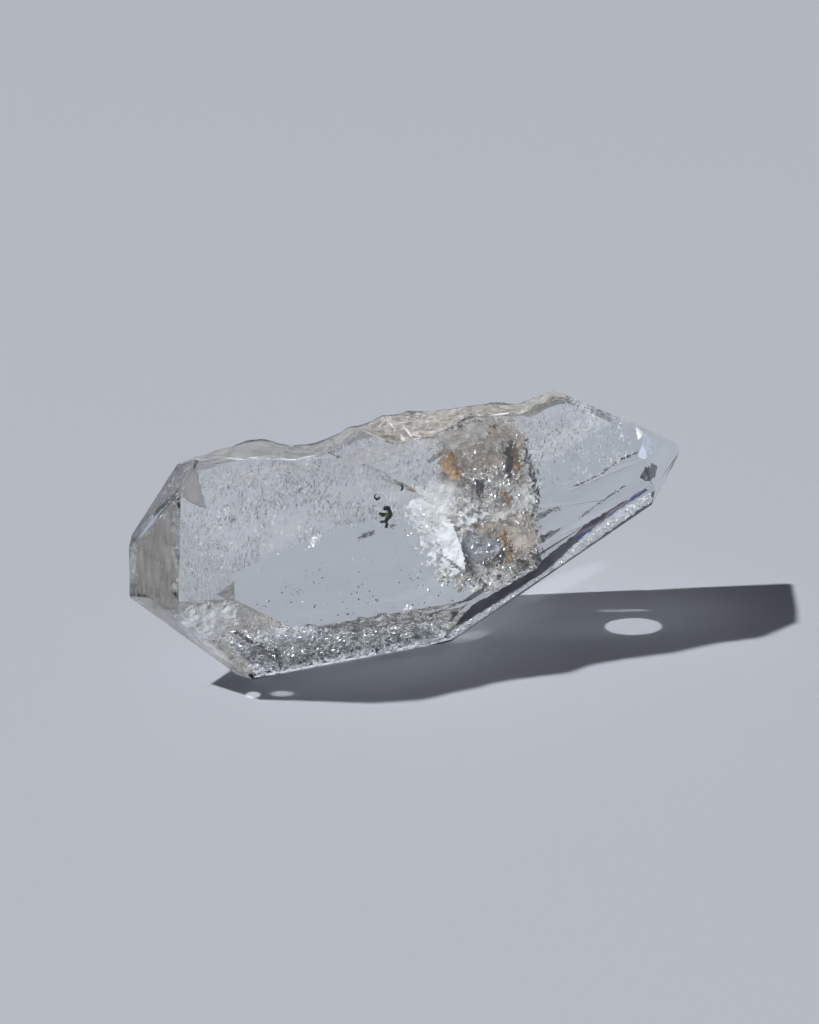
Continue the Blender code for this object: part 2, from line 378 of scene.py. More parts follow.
def makeTopSkin():
    # the crushed layer just under the broken top: a thin copy of those faces, set in from the surface
    print("top skin: crushed quartz under the broken top")
    skin = bpy.data.objects.new("top_skin", body.data.copy())
    bpy.context.collection.objects.link(skin)
    marks = skin.data.color_attributes["finish"].data
    onTop = [marks[face.loop_indices[0]].color[0] > 0.5 for face in skin.data.polygons]
    choose(skin)
    bpy.ops.object.mode_set(mode="EDIT")
    bpy.ops.mesh.select_mode(type="FACE")
    bpy.ops.mesh.select_all(action="DESELECT")
    bpy.ops.object.mode_set(mode="OBJECT")
    for face, keep in zip(skin.data.polygons, onTop):
        face.select = not keep
    bpy.ops.object.mode_set(mode="EDIT")
    bpy.ops.mesh.delete(type="FACE")
    bpy.ops.mesh.select_all(action="SELECT")
    bpy.ops.mesh.quads_convert_to_tris()
    bpy.ops.transform.shrink_fatten(value=-topSkin["inset"] * mm)
    bpy.ops.object.mode_set(mode="OBJECT")
    for vert in skin.data.vertices:
        c = vert.co / mm
        depth = stoneDepth(c.x, c.z)
        if depth is not None:
            vert.co.y = min(max(c.y, depth[0] + topSkin["side"]), depth[1] - topSkin["side"]) * mm
    applyModifier(skin, "SOLIDIFY", thickness=topSkin["thick"] * mm, offset=0.0)
    keepInside(skin)
    finishPiece(skin, "top_skin", crushedQuartz())
    innerPieces.append(skin)


# what is inside the stone is modelled as thin veils and small grains

def stoneDepth(x, z):  # y of the stone's front and back at a place, in millimetres
    ray = Vector((0, 1, 0))
    front = stoneTree.ray_cast(Vector((x * mm, -1, z * mm)), ray)[0]
    back = stoneTree.ray_cast(Vector((x * mm, 1, z * mm)), -ray)[0]
    if front is None or back is None:
        return None
    return front.y / mm, back.y / mm


def unevenness(x, z, size, seed):  # smooth waves of about this size, between -1 and 1
    total = 0
    for k in range(4):
        turn = seed * 1.7 + k * 2.4
        wave = 2 * math.pi / (size * (1 + 0.35 * k))
        total += math.sin((x * math.cos(turn) + z * math.sin(turn)) * wave + seed * 3.1 + k * 1.3)
    return total / 4


veilMaking = {
    "margin": 0.5,            # the grid reaches this far past the outline
    "cell": 0.35,
    "thick": 0.04,
    "fractal": 0.2,           # unevenness of the shards
    "waves": (1.1, 0.45),     # sizes of the notches in a ragged border
    "leastStone": 0.6,        # a veil ends where the stone is thinner than this
    "reach": 0.15,            # within this distance
    "clearance": 0.06,
}


def makeVeil(name, veil, material):
    # a grid upright in the stone, cut to a ragged outline, crumpled, leaned and given a thickness
    xs = [p[0] for p in veil["outline"]]
    zs = [p[1] for p in veil["outline"]]
    margin = veilMaking["margin"]
    low = (min(xs) - margin, min(zs) - margin)
    size = (max(xs) - min(xs) + 2 * margin, max(zs) - min(zs) + 2 * margin)
    middle = (low[0] + size[0] / 2, low[1] + size[1] / 2)
    facet = veil.get("facet", 0)
    cell = facet or veil.get("cell", veilMaking["cell"])
    seed = veil["seed"]
    ragged = veil["ragged"]
    bpy.ops.object.select_all(action="DESELECT")
    bpy.ops.mesh.primitive_grid_add(
        x_subdivisions=int(size[0] / cell), y_subdivisions=int(size[1] / cell), size=mm,
        location=(middle[0] * mm, 0, middle[1] * mm), rotation=(math.radians(90), 0, 0))
    obj = bpy.context.active_object
    obj.scale = (size[0], size[1], 1)
    applyPlace(obj)
    if facet:  # flat shards: a coarse net pulled about, then cut finer
        bpy.ops.object.mode_set(mode="EDIT")
        bpy.ops.mesh.select_all(action="SELECT")
        bpy.ops.transform.vertex_random(offset=veil["pull"] * facet * mm, seed=seed)
        bpy.ops.mesh.quads_convert_to_tris()
        bpy.ops.mesh.subdivide(number_cuts=veil["cuts"], fractal=veilMaking["fractal"], seed=seed)
        bpy.ops.object.mode_set(mode="OBJECT")

    def unwanted(c):
        dx, dz = 0, 0
        for k, wave in enumerate(veilMaking["waves"]):
            dx += ragged * unevenness(c.x, c.z, wave, seed + 5 * k)
            dz += ragged * unevenness(c.x, c.z, wave, seed + 5 * k + 1)
        if not insideOutline(c.x + dx, c.z + dz, veil["outline"]):
            return True
        if roomAround(c.x, c.z, veilMaking["reach"]) < veilMaking["leastStone"]:
            return True
        return unevenness(c.x, c.z, veil.get("holeSize", 1.2), seed + 9) > veil.get("holes", 2)

    deleteFaces(obj, unwanted)
    if not facet:
        bpy.ops.object.mode_set(mode="EDIT")
        bpy.ops.mesh.select_all(action="SELECT")
        bpy.ops.mesh.vertices_smooth(factor=0.5, repeat=3)
        bpy.ops.object.mode_set(mode="OBJECT")
    lean = veil.get("lean", (0, 0))
    for vert in obj.data.vertices:  # the middle surface of the veil
        c = vert.co / mm
        if "inset" in veil:  # this far behind the stone's front
            depth = stoneDepth(c.x, c.z) or (-1, 1)
            vert.co.y = (depth[0] + veil["inset"]) * mm
        else:
            vert.co.y = (c.y + veil["y"] + lean[0] * (c.x - middle[0]) + lean[1] * (c.z - middle[1])) * mm
    for k, (height, width) in enumerate(veil.get("crumple", [])):
        texture = bpy.data.textures.new(f"{name}_crumple_{k}", "VORONOI" if k == 0 else "CLOUDS")
        texture.noise_scale = width * mm
        applyModifier(obj, "DISPLACE", texture=texture, texture_coords="LOCAL", direction="Y",
                      strength=height * mm, mid_level=0.5)
    room = veilMaking["thick"] + veilMaking["clearance"]
    for vert in obj.data.vertices:  # kept within the stone
        c = vert.co / mm
        depth = stoneDepth(c.x, c.z)
        if depth is not None:
            vert.co.y = min(max(c.y, depth[0] + room), depth[1] - room) * mm
    applyModifier(obj, "SOLIDIFY", thickness=veilMaking["thick"] * mm, offset=0.0)
    keepInside(obj)
    if veil.get("smooth"):
        choose(obj)
        bpy.ops.object.shade_smooth()
    finishPiece(obj, name, material)
    innerPieces.append(obj)
    return obj


def roomAround(x, z, reach):  # the thinnest place of the stone near here, in millimetres
    steps = ((reach, 0), (-reach, 0), (0, reach), (0, -reach), (0, 0))
    around = [stoneDepth(x + dx, z + dz) for dx, dz in steps]
    return min(d[1] - d[0] if d else 0 for d in around)


grainMaking = {
    "crowding": 1.6,          # above 1 there are more small grains than large ones
    "leastStone": 1.2,        # no grain where the stone is thinner than this
    "reach": 0.12,            # within this distance and the grain's own
    "clearance": 0.1,
}


def makeGrains(name, grains, material):
    # one small grain, copied to many places, sizes and turns, and joined
    dice = random.Random(grains["seed"])
    bpy.ops.object.select_all(action="DESELECT")
    bpy.ops.mesh.primitive_ico_sphere_add(subdivisions=1, radius=0.5 * mm, location=(0, 0, 0))
    first = bpy.context.active_object
    copies = []
    outline = grains.get("outline")
    path = grains.get("path")
    tries = 0
    while len(copies) < grains["count"] and tries < grains["count"] * 60:
        tries += 1
        if path:
            t = dice.random() * (len(path) - 1)
            a, b = Vector(path[int(t)]), Vector(path[int(t) + 1])
            x, y, z = a.lerp(b, t - int(t)) + Vector([dice.gauss(0, grains["spread"]) for k in range(3)])
        else:
            x = dice.uniform(min(p[0] for p in outline), max(p[0] for p in outline))
            z = dice.uniform(min(p[1] for p in outline), max(p[1] for p in outline))
            if not insideOutline(x, z, outline):
                continue
            patch = 0.5 + unevenness(x, z, grains["patchSize"], grains["seed"])
            if dice.random() > patch + grains["even"]:
                continue
        low, high = grains["size"]
        size = low * (high / low) ** (dice.random() ** grainMaking["crowding"])
        stretch = grains.get("stretch", (1, 1, 1))
        reach = grainMaking["reach"] + 0.7 * size * max(stretch)
        if roomAround(x, z, reach) < grainMaking["leastStone"]:
            continue
        depth = stoneDepth(x, z)
        if not path:
            near, far = grains["inset"]
            inset = dice.uniform(near, far)
            side = grains["side"]
            y = depth[1] - inset if side == "back" else depth[0] + inset
        room = grainMaking["clearance"] + size * 0.5 * min(max(stretch), 1.2)
        y = min(max(y, depth[0] + room), depth[1] - room)
        turn = grains.get("turn", 3.2)
        angles = Euler([dice.uniform(-turn, turn) for k in range(3)])
        shape = Matrix.Diagonal(Vector([size * s * dice.uniform(0.6, 1.4) for s in stretch])).to_4x4()
        obj = first.copy()
        obj.data = first.data.copy()
        obj.matrix_world = Matrix.Translation(Vector((x, y, z)) * mm) @ angles.to_matrix().to_4x4() @ shape
        bpy.context.collection.objects.link(obj)
        copies.append(obj)
    bpy.data.objects.remove(first)
    bpy.ops.object.select_all(action="DESELECT")
    for obj in copies:
        obj.select_set(True)
    whole = copies[0]
    bpy.context.view_layer.objects.active = whole
    bpy.ops.object.join()
    applyPlace(whole)
    keepInside(whole)
    finishPiece(whole, name, material)
    innerPieces.append(whole)
    return whole


def silveryCrack(name, dark, light, metallic=0.35):
    # air-filled crack in quartz: glassy and silvery, with a fine crackle that catches the light
    material, tree, shader = newMaterial(name)
    mottle = addNode(tree, "ShaderNodeTexNoise", {"Scale": 1.0, "Detail": 6.0, "Roughness": 0.75},
                     {"Vector": inMillimetres(tree, (1.2, 1.2, 1.2))})
    tone = setRamp(addNode(tree, "ShaderNodeValToRGB", {}, {"Fac": mottle.outputs["Fac"]}),
                   [(0.36, rgb(dark)), (0.56, rgb(light)), (0.7, rgb("#eceded"))])
    rough = setRamp(addNode(tree, "ShaderNodeValToRGB", {}, {"Fac": mottle.outputs["Fac"]}),
                    [(0.3, 0.5), (0.7, 0.22)])
    crackle = addNode(tree, "ShaderNodeTexVoronoi", {"Scale": 1.0},
                      {"Vector": inMillimetres(tree, (3.2, 3.2, 3.2))})
    fine = addNode(tree, "ShaderNodeTexNoise", {"Scale": 1.0, "Detail": 4.0, "Roughness": 0.75},
                   {"Vector": inMillimetres(tree, (5.0, 5.0, 5.0))})
    first = addNode(tree, "ShaderNodeBump", {"Strength": 0.6, "Distance": 0.3 * mm},
                    {"Height": crackle.outputs["Distance"]})
    bump = addNode(tree, "ShaderNodeBump", {"Strength": 0.6, "Distance": 0.2 * mm},
                   {"Height": fine.outputs["Fac"], "Normal": first.outputs["Normal"]})
    shader.inputs["Metallic"].default_value = metallic
    tree.links.new(tone, shader.inputs["Base Color"])
    tree.links.new(rough, shader.inputs["Roughness"])
    tree.links.new(bump.outputs["Normal"], shader.inputs["Normal"])
    return material


def paleVeil(name, light, dark, metallic=0.2, roughness=0.45):
    # milky sheet, lighter and darker in patches: healed cracks full of tiny bubbles, and also painted shade
    # and highlights on some pieces
    material, tree, shader = newMaterial(name)
    mottle = addNode(tree, "ShaderNodeTexNoise", {"Scale": 1.0, "Detail": 6.0, "Roughness": 0.7},
                     {"Vector": inMillimetres(tree, (1.3, 1.3, 1.3))})
    tone = setRamp(addNode(tree, "ShaderNodeValToRGB", {}, {"Fac": mottle.outputs["Fac"]}),
                   [(0.25, rgb(dark)), (0.5, rgb(light)), (1.0, rgb(light))])
    bump = addNode(tree, "ShaderNodeBump", {"Strength": 0.5, "Distance": 0.15 * mm},
                   {"Height": mottle.outputs["Fac"]})
    shader.inputs["Metallic"].default_value = metallic
    shader.inputs["Roughness"].default_value = roughness
    tree.links.new(tone, shader.inputs["Base Color"])
    tree.links.new(bump.outputs["Normal"], shader.inputs["Normal"])
    return material


def brightFlake(name, light, dark):
    # clean flake of air in quartz: a small mirror
    material, tree, shader = newMaterial(name)
    mottle = addNode(tree, "ShaderNodeTexNoise", {"Scale": 1.0, "Detail": 3.0},
                     {"Vector": inMillimetres(tree, (1.5, 1.5, 1.5))})
    tone = setRamp(addNode(tree, "ShaderNodeValToRGB", {}, {"Fac": mottle.outputs["Fac"]}),
                   [(0.35, rgb(dark)), (0.6, rgb(light))])
    shader.inputs["Metallic"].default_value = 0.7
    shader.inputs["Roughness"].default_value = 0.2
    tree.links.new(tone, shader.inputs["Base Color"])
    return material


def thinStain(name, light, dark, cover, scale, roughness=0.5):
    # film on a crack, see-through where it is thin, cover sets the least and most of it: iron and haze
    # films, and also painted shade, light and reflection on some pieces
    material, tree, shader = newMaterial(name)
    cloud = addNode(tree, "ShaderNodeTexNoise", {"Scale": 1.0, "Detail": 6.0, "Roughness": 0.65},
                    {"Vector": inMillimetres(tree, scale)})
    tone = setRamp(addNode(tree, "ShaderNodeValToRGB", {}, {"Fac": cloud.outputs["Fac"]}),
                   [(0.3, rgb(dark)), (0.65, rgb(light))])
    thick = addNode(tree, "ShaderNodeTexNoise", {"Scale": 1.0, "Detail": 5.0, "Roughness": 0.6},
                    {"Vector": inMillimetres(tree, scale, (3, 7, 5))})
    alpha = addNode(tree, "ShaderNodeMapRange", {"From Min": 0.35, "From Max": 0.65,
                                                 "To Min": cover[0], "To Max": cover[1]},
                    {"Value": thick.outputs["Fac"]})
    shader.inputs["Roughness"].default_value = roughness
    tree.links.new(tone, shader.inputs["Base Color"])
    tree.links.new(alpha.outputs["Result"], shader.inputs["Alpha"])
    return material


cracks = {
    "zone_back": {
        "y": 1.6, "lean": (0.1, 0.25), "facet": 1.0, "pull": 0.55, "cuts": 2, "seed": 3, "ragged": 0.9,
        "holes": 0.3, "holeSize": 1.1, "crumple": [(0.35, 0.3)],
        "outline": [(1.6, 23.6), (3.9, 24.6), (6.4, 25.4), (9.4, 25.4), (11.5, 23.6), (12.8, 20.2),
                    (13.1, 15.2), (14.0, 10.0), (13.4, 7.0), (9.6, 5.6), (5.5, 5.8), (1.6, 7.6),
                    (2.6, 13.0), (3.3, 16.5), (2.0, 20.4)]},
    "zone_middle": {
        "y": -0.3, "lean": (-0.15, 0.3), "facet": 0.9, "pull": 0.6, "cuts": 2, "seed": 11, "ragged": 0.9,
        "holes": 0.1, "holeSize": 0.9, "crumple": [(0.3, 0.25)],
        "outline": [(4.4, 20.6), (6.6, 21.4), (9.0, 21.6), (11.2, 20.8), (12.2, 18.4), (12.8, 14.8),
                    (13.3, 12.0), (13.2, 8.4), (10.8, 7.2), (7.5, 8.6), (4.4, 12.6), (3.9, 15.0),
                    (3.9, 18.6)]},
    "zone_front": {
        "y": -2.0, "lean": (0.1, 0.3), "facet": 0.7, "pull": 0.6, "cuts": 2, "seed": 21, "ragged": 0.7,
        "holes": -0.05, "holeSize": 0.8, "crumple": [(0.25, 0.2)],
        "outline": [(4.1, 20.5), (6.3, 20.4), (8.6, 20.8), (9.4, 18.7), (9.0, 16.0), (7.0, 15.4),
                    (3.6, 16.4), (3.4, 18.4)]},
    "low_tail": {
        "y": -1.8, "lean": (0.0, 0.6), "facet": 0.7, "pull": 0.5, "cuts": 2, "seed": 31, "ragged": 0.6,
        "holes": 0.12, "holeSize": 0.9, "crumple": [(0.25, 0.25)],
        "outline": [(0.6, 9.2), (2.8, 9.0), (6.4, 8.4), (10.1, 8.5), (12.8, 8.3), (12.4, 6.7), (9.5, 5.6),
                    (5.2, 5.8), (1.6, 7.2)]},
}
whiteVeil = {
    "main": {
        "y": -2.9, "lean": (-0.35, 0.45), "facet": 0.9, "pull": 0.4, "cuts": 3, "seed": 41, "ragged": 0.12,
        "crumple": [(0.12, 0.3)],
        "outline": [(1.2, 15.9), (2.8, 14.7), (3.8, 11.6), (4.0, 9.0), (2.1, 10.6), (0.7, 13.3)]},
    "lower": {
        "y": -2.4, "lean": (-0.2, 0.4), "facet": 0.7, "pull": 0.5, "cuts": 2, "seed": 49, "ragged": 0.5,
        "holes": 0.1, "holeSize": 0.8, "crumple": [(0.15, 0.3)],
        "outline": [(-1.2, 15.0), (1.2, 15.2), (0.9, 13.0), (2.1, 10.6), (3.6, 8.9), (1.6, 8.4),
                    (0.0, 11.0)]},
    "haze": {
        "y": -2.4, "lean": (-0.1, 0.4), "facet": 0.7, "pull": 0.5, "cuts": 2, "seed": 47, "ragged": 0.5,
        "holes": 0.05, "holeSize": 0.7, "crumple": [(0.15, 0.3)],
        "outline": [(3.3, 15.6), (5.1, 16.5), (7.2, 15.6), (6.1, 14.1), (4.2, 13.5)]},
}
greyVeil = {
    "grey": {
        "y": -2.4, "lean": (-0.3, 0.1), "facet": 0.9, "pull": 0.4, "cuts": 3, "seed": 51, "ragged": 0.15,
        "crumple": [(0.12, 0.4)],
        "outline": [(4.3, 12.0), (5.8, 12.5), (8.0, 11.6), (8.8, 10.5), (7.3, 9.0), (4.3, 8.7)]},
    "dark": {
        "y": -2.7, "lean": (0.5, -0.4), "facet": 0.7, "pull": 0.4, "cuts": 3, "seed": 55, "ragged": 0.15,
        "outline": [(5.2, 19.7), (6.1, 19.2), (7.2, 19.3), (6.7, 18.0), (6.1, 16.6), (5.6, 17.9)]},
    "dark_side": {
        "y": -2.2, "lean": (0.8, -0.2), "facet": 0.8, "pull": 0.5, "cuts": 3, "seed": 57, "ragged": 0.4,
        "outline": [(9.1, 22.8), (9.9, 23.4), (10.3, 20.5), (10.3, 18.3), (9.1, 18.7)]},
}
flakes = {
    "zone_bright": {
        "count": 1400, "size": (0.06, 0.4), "stretch": (1.5, 0.25, 0.8), "side": "front",
        "inset": (1.6, 4.5), "patchSize": 1.3, "even": 0.0, "seed": 161,
        "outline": [(3.4, 20.6), (8.6, 21.4), (10.4, 18.7), (13.0, 18.0), (13.2, 8.0), (10.0, 5.8),
                    (4.0, 6.0), (0.6, 7.6), (1.0, 10.0), (4.0, 12.6), (3.0, 16.5)]},
    "zone_top": {
        "count": 420, "size": (0.06, 0.26), "stretch": (5.0, 0.25, 0.3), "side": "front",
        "inset": (1.8, 4.5), "patchSize": 1.8, "even": 0.2, "seed": 163,
        "outline": [(1.3, 24.8), (6.4, 26.4), (11.5, 24.1), (12.6, 20.6), (4.0, 19.6), (1.0, 20.8)]},
    "zone_white": {
        "count": 260, "size": (0.1, 0.42), "stretch": (1.5, 0.3, 0.8), "side": "front", "inset": (1.9, 2.8),
        "patchSize": 1.2, "even": 0.2, "seed": 209,
        "outline": [(3.4, 21.0), (5.0, 19.6), (8.4, 21.4), (9.8, 19.0), (8.4, 16.8), (6.6, 16.0),
                    (6.2, 18.9), (4.4, 18.6)]},
    "low_white": {
        "count": 420, "size": (0.06, 0.28), "stretch": (1.7, 0.3, 0.7), "side": "front",
        "inset": (2.2, 3.6), "patchSize": 1.1, "even": 0.1, "seed": 211,
        "outline": [(0.6, 9.2), (2.8, 9.0), (6.4, 8.6), (12.4, 8.3), (12.2, 6.9), (9.5, 5.8), (5.2, 6.0),
                    (1.6, 7.2)]},
    "zone_spill": {
        "count": 560, "size": (0.06, 0.28), "stretch": (1.5, 0.3, 0.8), "side": "front",
        "inset": (2.2, 4.5), "patchSize": 1.2, "even": 0.0, "seed": 165,
        "outline": [(-3.4, 16.4), (-0.4, 17.0), (3.4, 17.6), (1.4, 12.6), (-0.6, 9.0), (0.6, 6.6),
                    (-1.2, 7.4), (-2.0, 12.0)]},
}
shadedFlakes = {
    "zone_grey": {
        "count": 900, "size": (0.06, 0.28), "stretch": (1.3, 0.25, 1.0), "side": "front",
        "inset": (1.8, 5.0), "patchSize": 1.3, "even": 0.0, "seed": 167,
        "outline": [(4.0, 22.0), (11.0, 24.0), (13.0, 19.0), (13.8, 9.0), (12.6, 6.4), (8.6, 8.6),
                    (4.2, 13.0)]},
    "zone_wall": {
        "count": 320, "size": (0.08, 0.32), "stretch": (0.6, 0.3, 2.0), "turn": 0.5, "side": "front",
        "inset": (2.5, 5.0), "patchSize": 1.4, "even": 0.1, "seed": 169,
        "outline": [(10.6, 23.6), (11.9, 23.0), (13.2, 19.4), (13.0, 16.0), (14.2, 9.8), (13.4, 7.2),
                    (12.2, 11.0), (12.0, 17.0), (11.2, 19.0)]},
    "grey_edge": {
        "count": 90, "size": (0.1, 0.3), "stretch": (1.6, 0.3, 0.6), "seed": 171, "spread": 0.16,
        "path": [(4.2, -2.9, 11.6), (4.1, -2.9, 8.9), (5.4, -2.9, 9.1), (7.1, -2.9, 9.6),
                 (8.6, -2.9, 10.8)]},
}


def makeCracks():
    print("cracks: glassy veils with fine crackle, the white and the grey patch, and loose flakes")
    silver = silveryCrack("silvery_air_crack", "#8d8884", "#cbc7c3")
    tail = silveryCrack("pale_step_crack", "#a9a6a3", "#dbdad9", 0.2)
    for key, veil in cracks.items():
        makeVeil(f"crack_{key}", veil, tail if key == "low_tail" else silver)
    white = paleVeil("milky_white_crack", "#c3c6ca", "#8f949b", 0.0, 0.45)
    for key, veil in whiteVeil.items():
        makeVeil(f"white_veil_{key}", veil, white)
    grey = paleVeil("grey_crack_film", "#8b8e95", "#55575d", 0.2, 0.4)
    makeVeil("grey_veil_grey", greyVeil["grey"], grey)
    shadowed = paleVeil("shadowed_crack_film", "#55555b", "#242428", 0.1, 0.4)
    for key in ("dark", "dark_side"):
        makeVeil(f"grey_veil_{key}", greyVeil[key], shadowed)
    flake = brightFlake("bright_crack_flake", "#ffffff", "#dddcda")
    for key, grains in flakes.items():
        makeGrains(f"flakes_{key}", grains, flake)
    shaded = paleVeil("shaded_crack_flake", "#8f8c8a", "#58575a", 0.2, 0.4)
    for key, grains in shadedFlakes.items():
        makeGrains(f"flakes_{key}", grains, shaded)


stains = {
    "orange_fleck": {
        "y": -2.6, "lean": (0.1, 0.2), "cell": 0.1, "seed": 61, "ragged": 0.3, "crumple": [(0.3, 0.6)],
        "outline": [(2.4, 23.2), (2.8, 22.5), (3.4, 21.0), (3.4, 19.9), (2.7, 19.5), (2.2, 20.4),
                    (1.4, 21.4), (1.6, 22.3)]},
    "brown_band_upper": {
        "y": -1.9, "lean": (0.3, 0.2), "cell": 0.12, "seed": 63, "ragged": 0.4, "crumple": [(0.5, 0.8)],
        "outline": [(9.9, 23.4), (10.7, 23.1), (10.9, 20.6), (11.2, 18.4), (10.6, 17.5), (10.1, 19.5)]},
    "brown_band_lower": {
        "y": -2.8, "lean": (0.2, 0.2), "cell": 0.12, "seed": 65, "ragged": 0.4, "crumple": [(0.4, 0.8)],
        "outline": [(8.6, 12.5), (9.3, 12.3), (9.9, 10.6), (10.7, 10.1), (10.5, 8.3), (9.4, 8.7),
                    (9.1, 10.4)]},
    "rusty_patch": {
        "y": -2.6, "lean": (0.2, 0.2), "cell": 0.12, "seed": 66, "ragged": 0.4, "crumple": [(0.3, 0.6)],
        "outline": [(9.0, 17.2), (9.9, 17.0), (10.2, 15.8), (9.4, 15.4), (8.8, 16.2)]},
}
rustGrains = {
    "gold_line": {
        "count": 70, "size": (0.12, 0.36), "stretch": (0.6, 0.4, 1.5), "turn": 0.3, "seed": 173,
        "spread": 0.07,
        "path": [(2.6, -2.9, 23.4), (2.9, -2.9, 22.4), (3.3, -2.9, 21.2), (3.45, -2.9, 19.8)]},
    "gold_low": {
        "count": 30, "size": (0.12, 0.3), "stretch": (0.8, 0.4, 1.3), "turn": 0.5, "seed": 175,
        "spread": 0.12, "path": [(8.5, -3.1, 12.5), (8.9, -3.1, 11.6), (9.4, -3.1, 10.9)]},
    "rust_edge": {
        "count": 60, "size": (0.08, 0.24), "stretch": (0.7, 0.4, 1.6), "turn": 0.4, "seed": 177,
        "spread": 0.12, "path": [(10.3, -2.4, 23.0), (10.8, -2.4, 21.0), (11.0, -2.4, 18.4)]},
    "rust_bits": {
        "count": 14, "size": (0.12, 0.3), "stretch": (0.9, 0.4, 1.1), "seed": 179, "spread": 0.16,
        "path": [(5.4, -3.0, 7.6), (6.2, -3.0, 7.0), (8.6, -3.0, 6.6)]},
    "top_brown_line": {
        "count": 130, "size": (0.06, 0.2), "stretch": (1.8, 0.5, 0.7), "turn": 0.5, "seed": 181,
        "spread": 0.14,
        "path": [(-0.4, -5.1, 25.8), (0.7, -5.1, 26.3), (2.3, -4.5, 26.5), (3.6, -4.4, 27.1),
                 (5.1, -3.0, 26.9)]},
    "brown_smudge": {
        "count": 80, "size": (0.1, 0.36), "stretch": (1.1, 0.4, 1.0), "seed": 183, "spread": 0.32,
        "path": [(6.4, -5.0, 25.6), (7.0, -5.0, 26.3), (7.6, -5.0, 25.7)]},
}
hazes = {
    "brown_haze_top": {
        "y": -1.0, "lean": (0.0, 0.25), "cell": 0.25, "seed": 67, "ragged": 0.9, "crumple": [(0.4, 1.5)],
        "outline": [(1.4, 24.6), (4.0, 25.6), (7.4, 26.2), (11.2, 24.4), (12.4, 20.8), (9.0, 19.6),
                    (4.4, 20.0), (1.4, 20.6)]},
    "brown_haze_low": {
        "y": -2.2, "lean": (0.0, 0.25), "cell": 0.25, "seed": 69, "ragged": 0.9, "crumple": [(0.4, 1.5)],
        "outline": [(7.1, 14.9), (9.4, 15.6), (12.4, 14.0), (13.4, 11.1), (13.0, 8.8), (10.4, 8.6),
                    (8.8, 11.2), (6.4, 11.4), (5.5, 13.2)]},
}
paleHazes = {
    "pale_haze_middle": {
        "y": -1.4, "lean": (-0.1, 0.3), "cell": 0.25, "seed": 68, "ragged": 0.9, "crumple": [(0.4, 1.5)],
        "outline": [(-2.6, 16.6), (0.6, 19.6), (3.6, 20.6), (10.0, 20.4), (12.6, 18.0), (12.8, 14.4),
                    (9.0, 13.6), (6.0, 13.6), (3.0, 12.6), (0.0, 12.0)]},
}


topFringe = {
    "fringe_middle": {
        "inset": 0.3, "cell": 0.2, "seed": 185, "ragged": 0.9,
        "outline": [(-12.8, 24.4), (-9.0, 26.2), (-3.0, 26.4), (4.0, 27.4), (11.6, 27.8), (12.2, 25.0),
                    (8.0, 25.6), (2.0, 24.0), (-1.6, 24.4), (-6.0, 23.4)]},
    "fringe_left": {
        "inset": 0.3, "cell": 0.2, "seed": 187, "ragged": 0.6,
        "outline": [(-26.2, 23.8), (-24.0, 24.9), (-17.6, 25.4), (-13.0, 24.4), (-13.4, 23.4),
                    (-18.0, 24.4), (-24.0, 23.6)]},
}


def makeStains():
    print("stains: iron films and rusty grains in the cracks")
    orange = thinStain("iron_oxide_film", "#d0b18c", "#93754f", (0.3, 0.9), (2.2, 2.2, 1.2))
    makeVeil("orange_fleck", stains["orange_fleck"], orange)
    brown = thinStain("dull_iron_oxide_film", "#a38a6c", "#5e4c38", (0.3, 1.0), (2.6, 2.6, 1.2))
    for key in ("brown_band_upper", "brown_band_lower", "rusty_patch"):
        makeVeil(key, stains[key], brown)
    gold = darkGrain("golden_goethite_grain", "#b07a2c", "#5a3d1c", 0.4)
    for key in ("gold_line", "gold_low"):
        makeGrains(key, rustGrains[key], gold)
    rust = darkGrain("brown_goethite_grain", "#8a6a48", "#3f3124", 0.5)
    for key in ("rust_edge", "rust_bits", "top_brown_line", "brown_smudge"):
        makeGrains(key, rustGrains[key], rust)
    haze = thinStain("thin_brown_film", "#d3c9bf", "#ab9e92", (0.1, 0.6), (0.8, 0.8, 0.8))
    for key, veil in hazes.items():
        makeVeil(key, veil, haze)
    fringe = thinStain("crushed_quartz_fringe", "#c2c1c0", "#94918e", (0.0, 0.5), (1.1, 1.1, 1.6))
    for key, veil in topFringe.items():
        makeVeil(key, veil, fringe)
    pale = thinStain("thin_white_film", "#eef0f2", "#c9c8c6", (0.05, 0.6), (0.9, 0.9, 0.9))
    for key, veil in paleHazes.items():
        makeVeil(key, veil, pale)


# bright grains set where the stone sparkles: painted glints
sparks = {
    "spark_corner": {
        "count": 50, "size": (0.06, 0.22), "stretch": (1.4, 0.5, 0.9), "seed": 213, "spread": 0.16,
        "path": [(-20.7, -4.3, 0.7), (-20.1, -4.7, 0.7), (-19.4, -4.8, 0.7)]},
    "spark_upper": {
        "count": 60, "size": (0.08, 0.32), "stretch": (1.4, 0.3, 0.9), "seed": 191, "spread": 0.26,
        "path": [(-13.3, -1.9, 14.3), (-13.0, -1.9, 14.9), (-12.6, -1.9, 15.3)]},
    "spark_lower": {
        "count": 40, "size": (0.08, 0.26), "stretch": (1.4, 0.3, 0.9), "seed": 193, "spread": 0.2,
        "path": [(-2.9, -3.4, 4.8), (-2.5, -3.4, 5.2), (-2.2, -3.4, 4.9)]},
    "spark_scatter": {
        "count": 46, "size": (0.07, 0.2), "stretch": (1.8, 0.4, 0.8), "side": "front", "inset": (2.0, 6.0),
        "patchSize": 4.0, "even": 0.4, "seed": 195,
        "outline": [(-24.0, 9.0), (-22.0, 22.0), (-4.0, 22.0), (2.0, 14.0), (4.0, 5.0), (-14.0, 5.0)]},
}
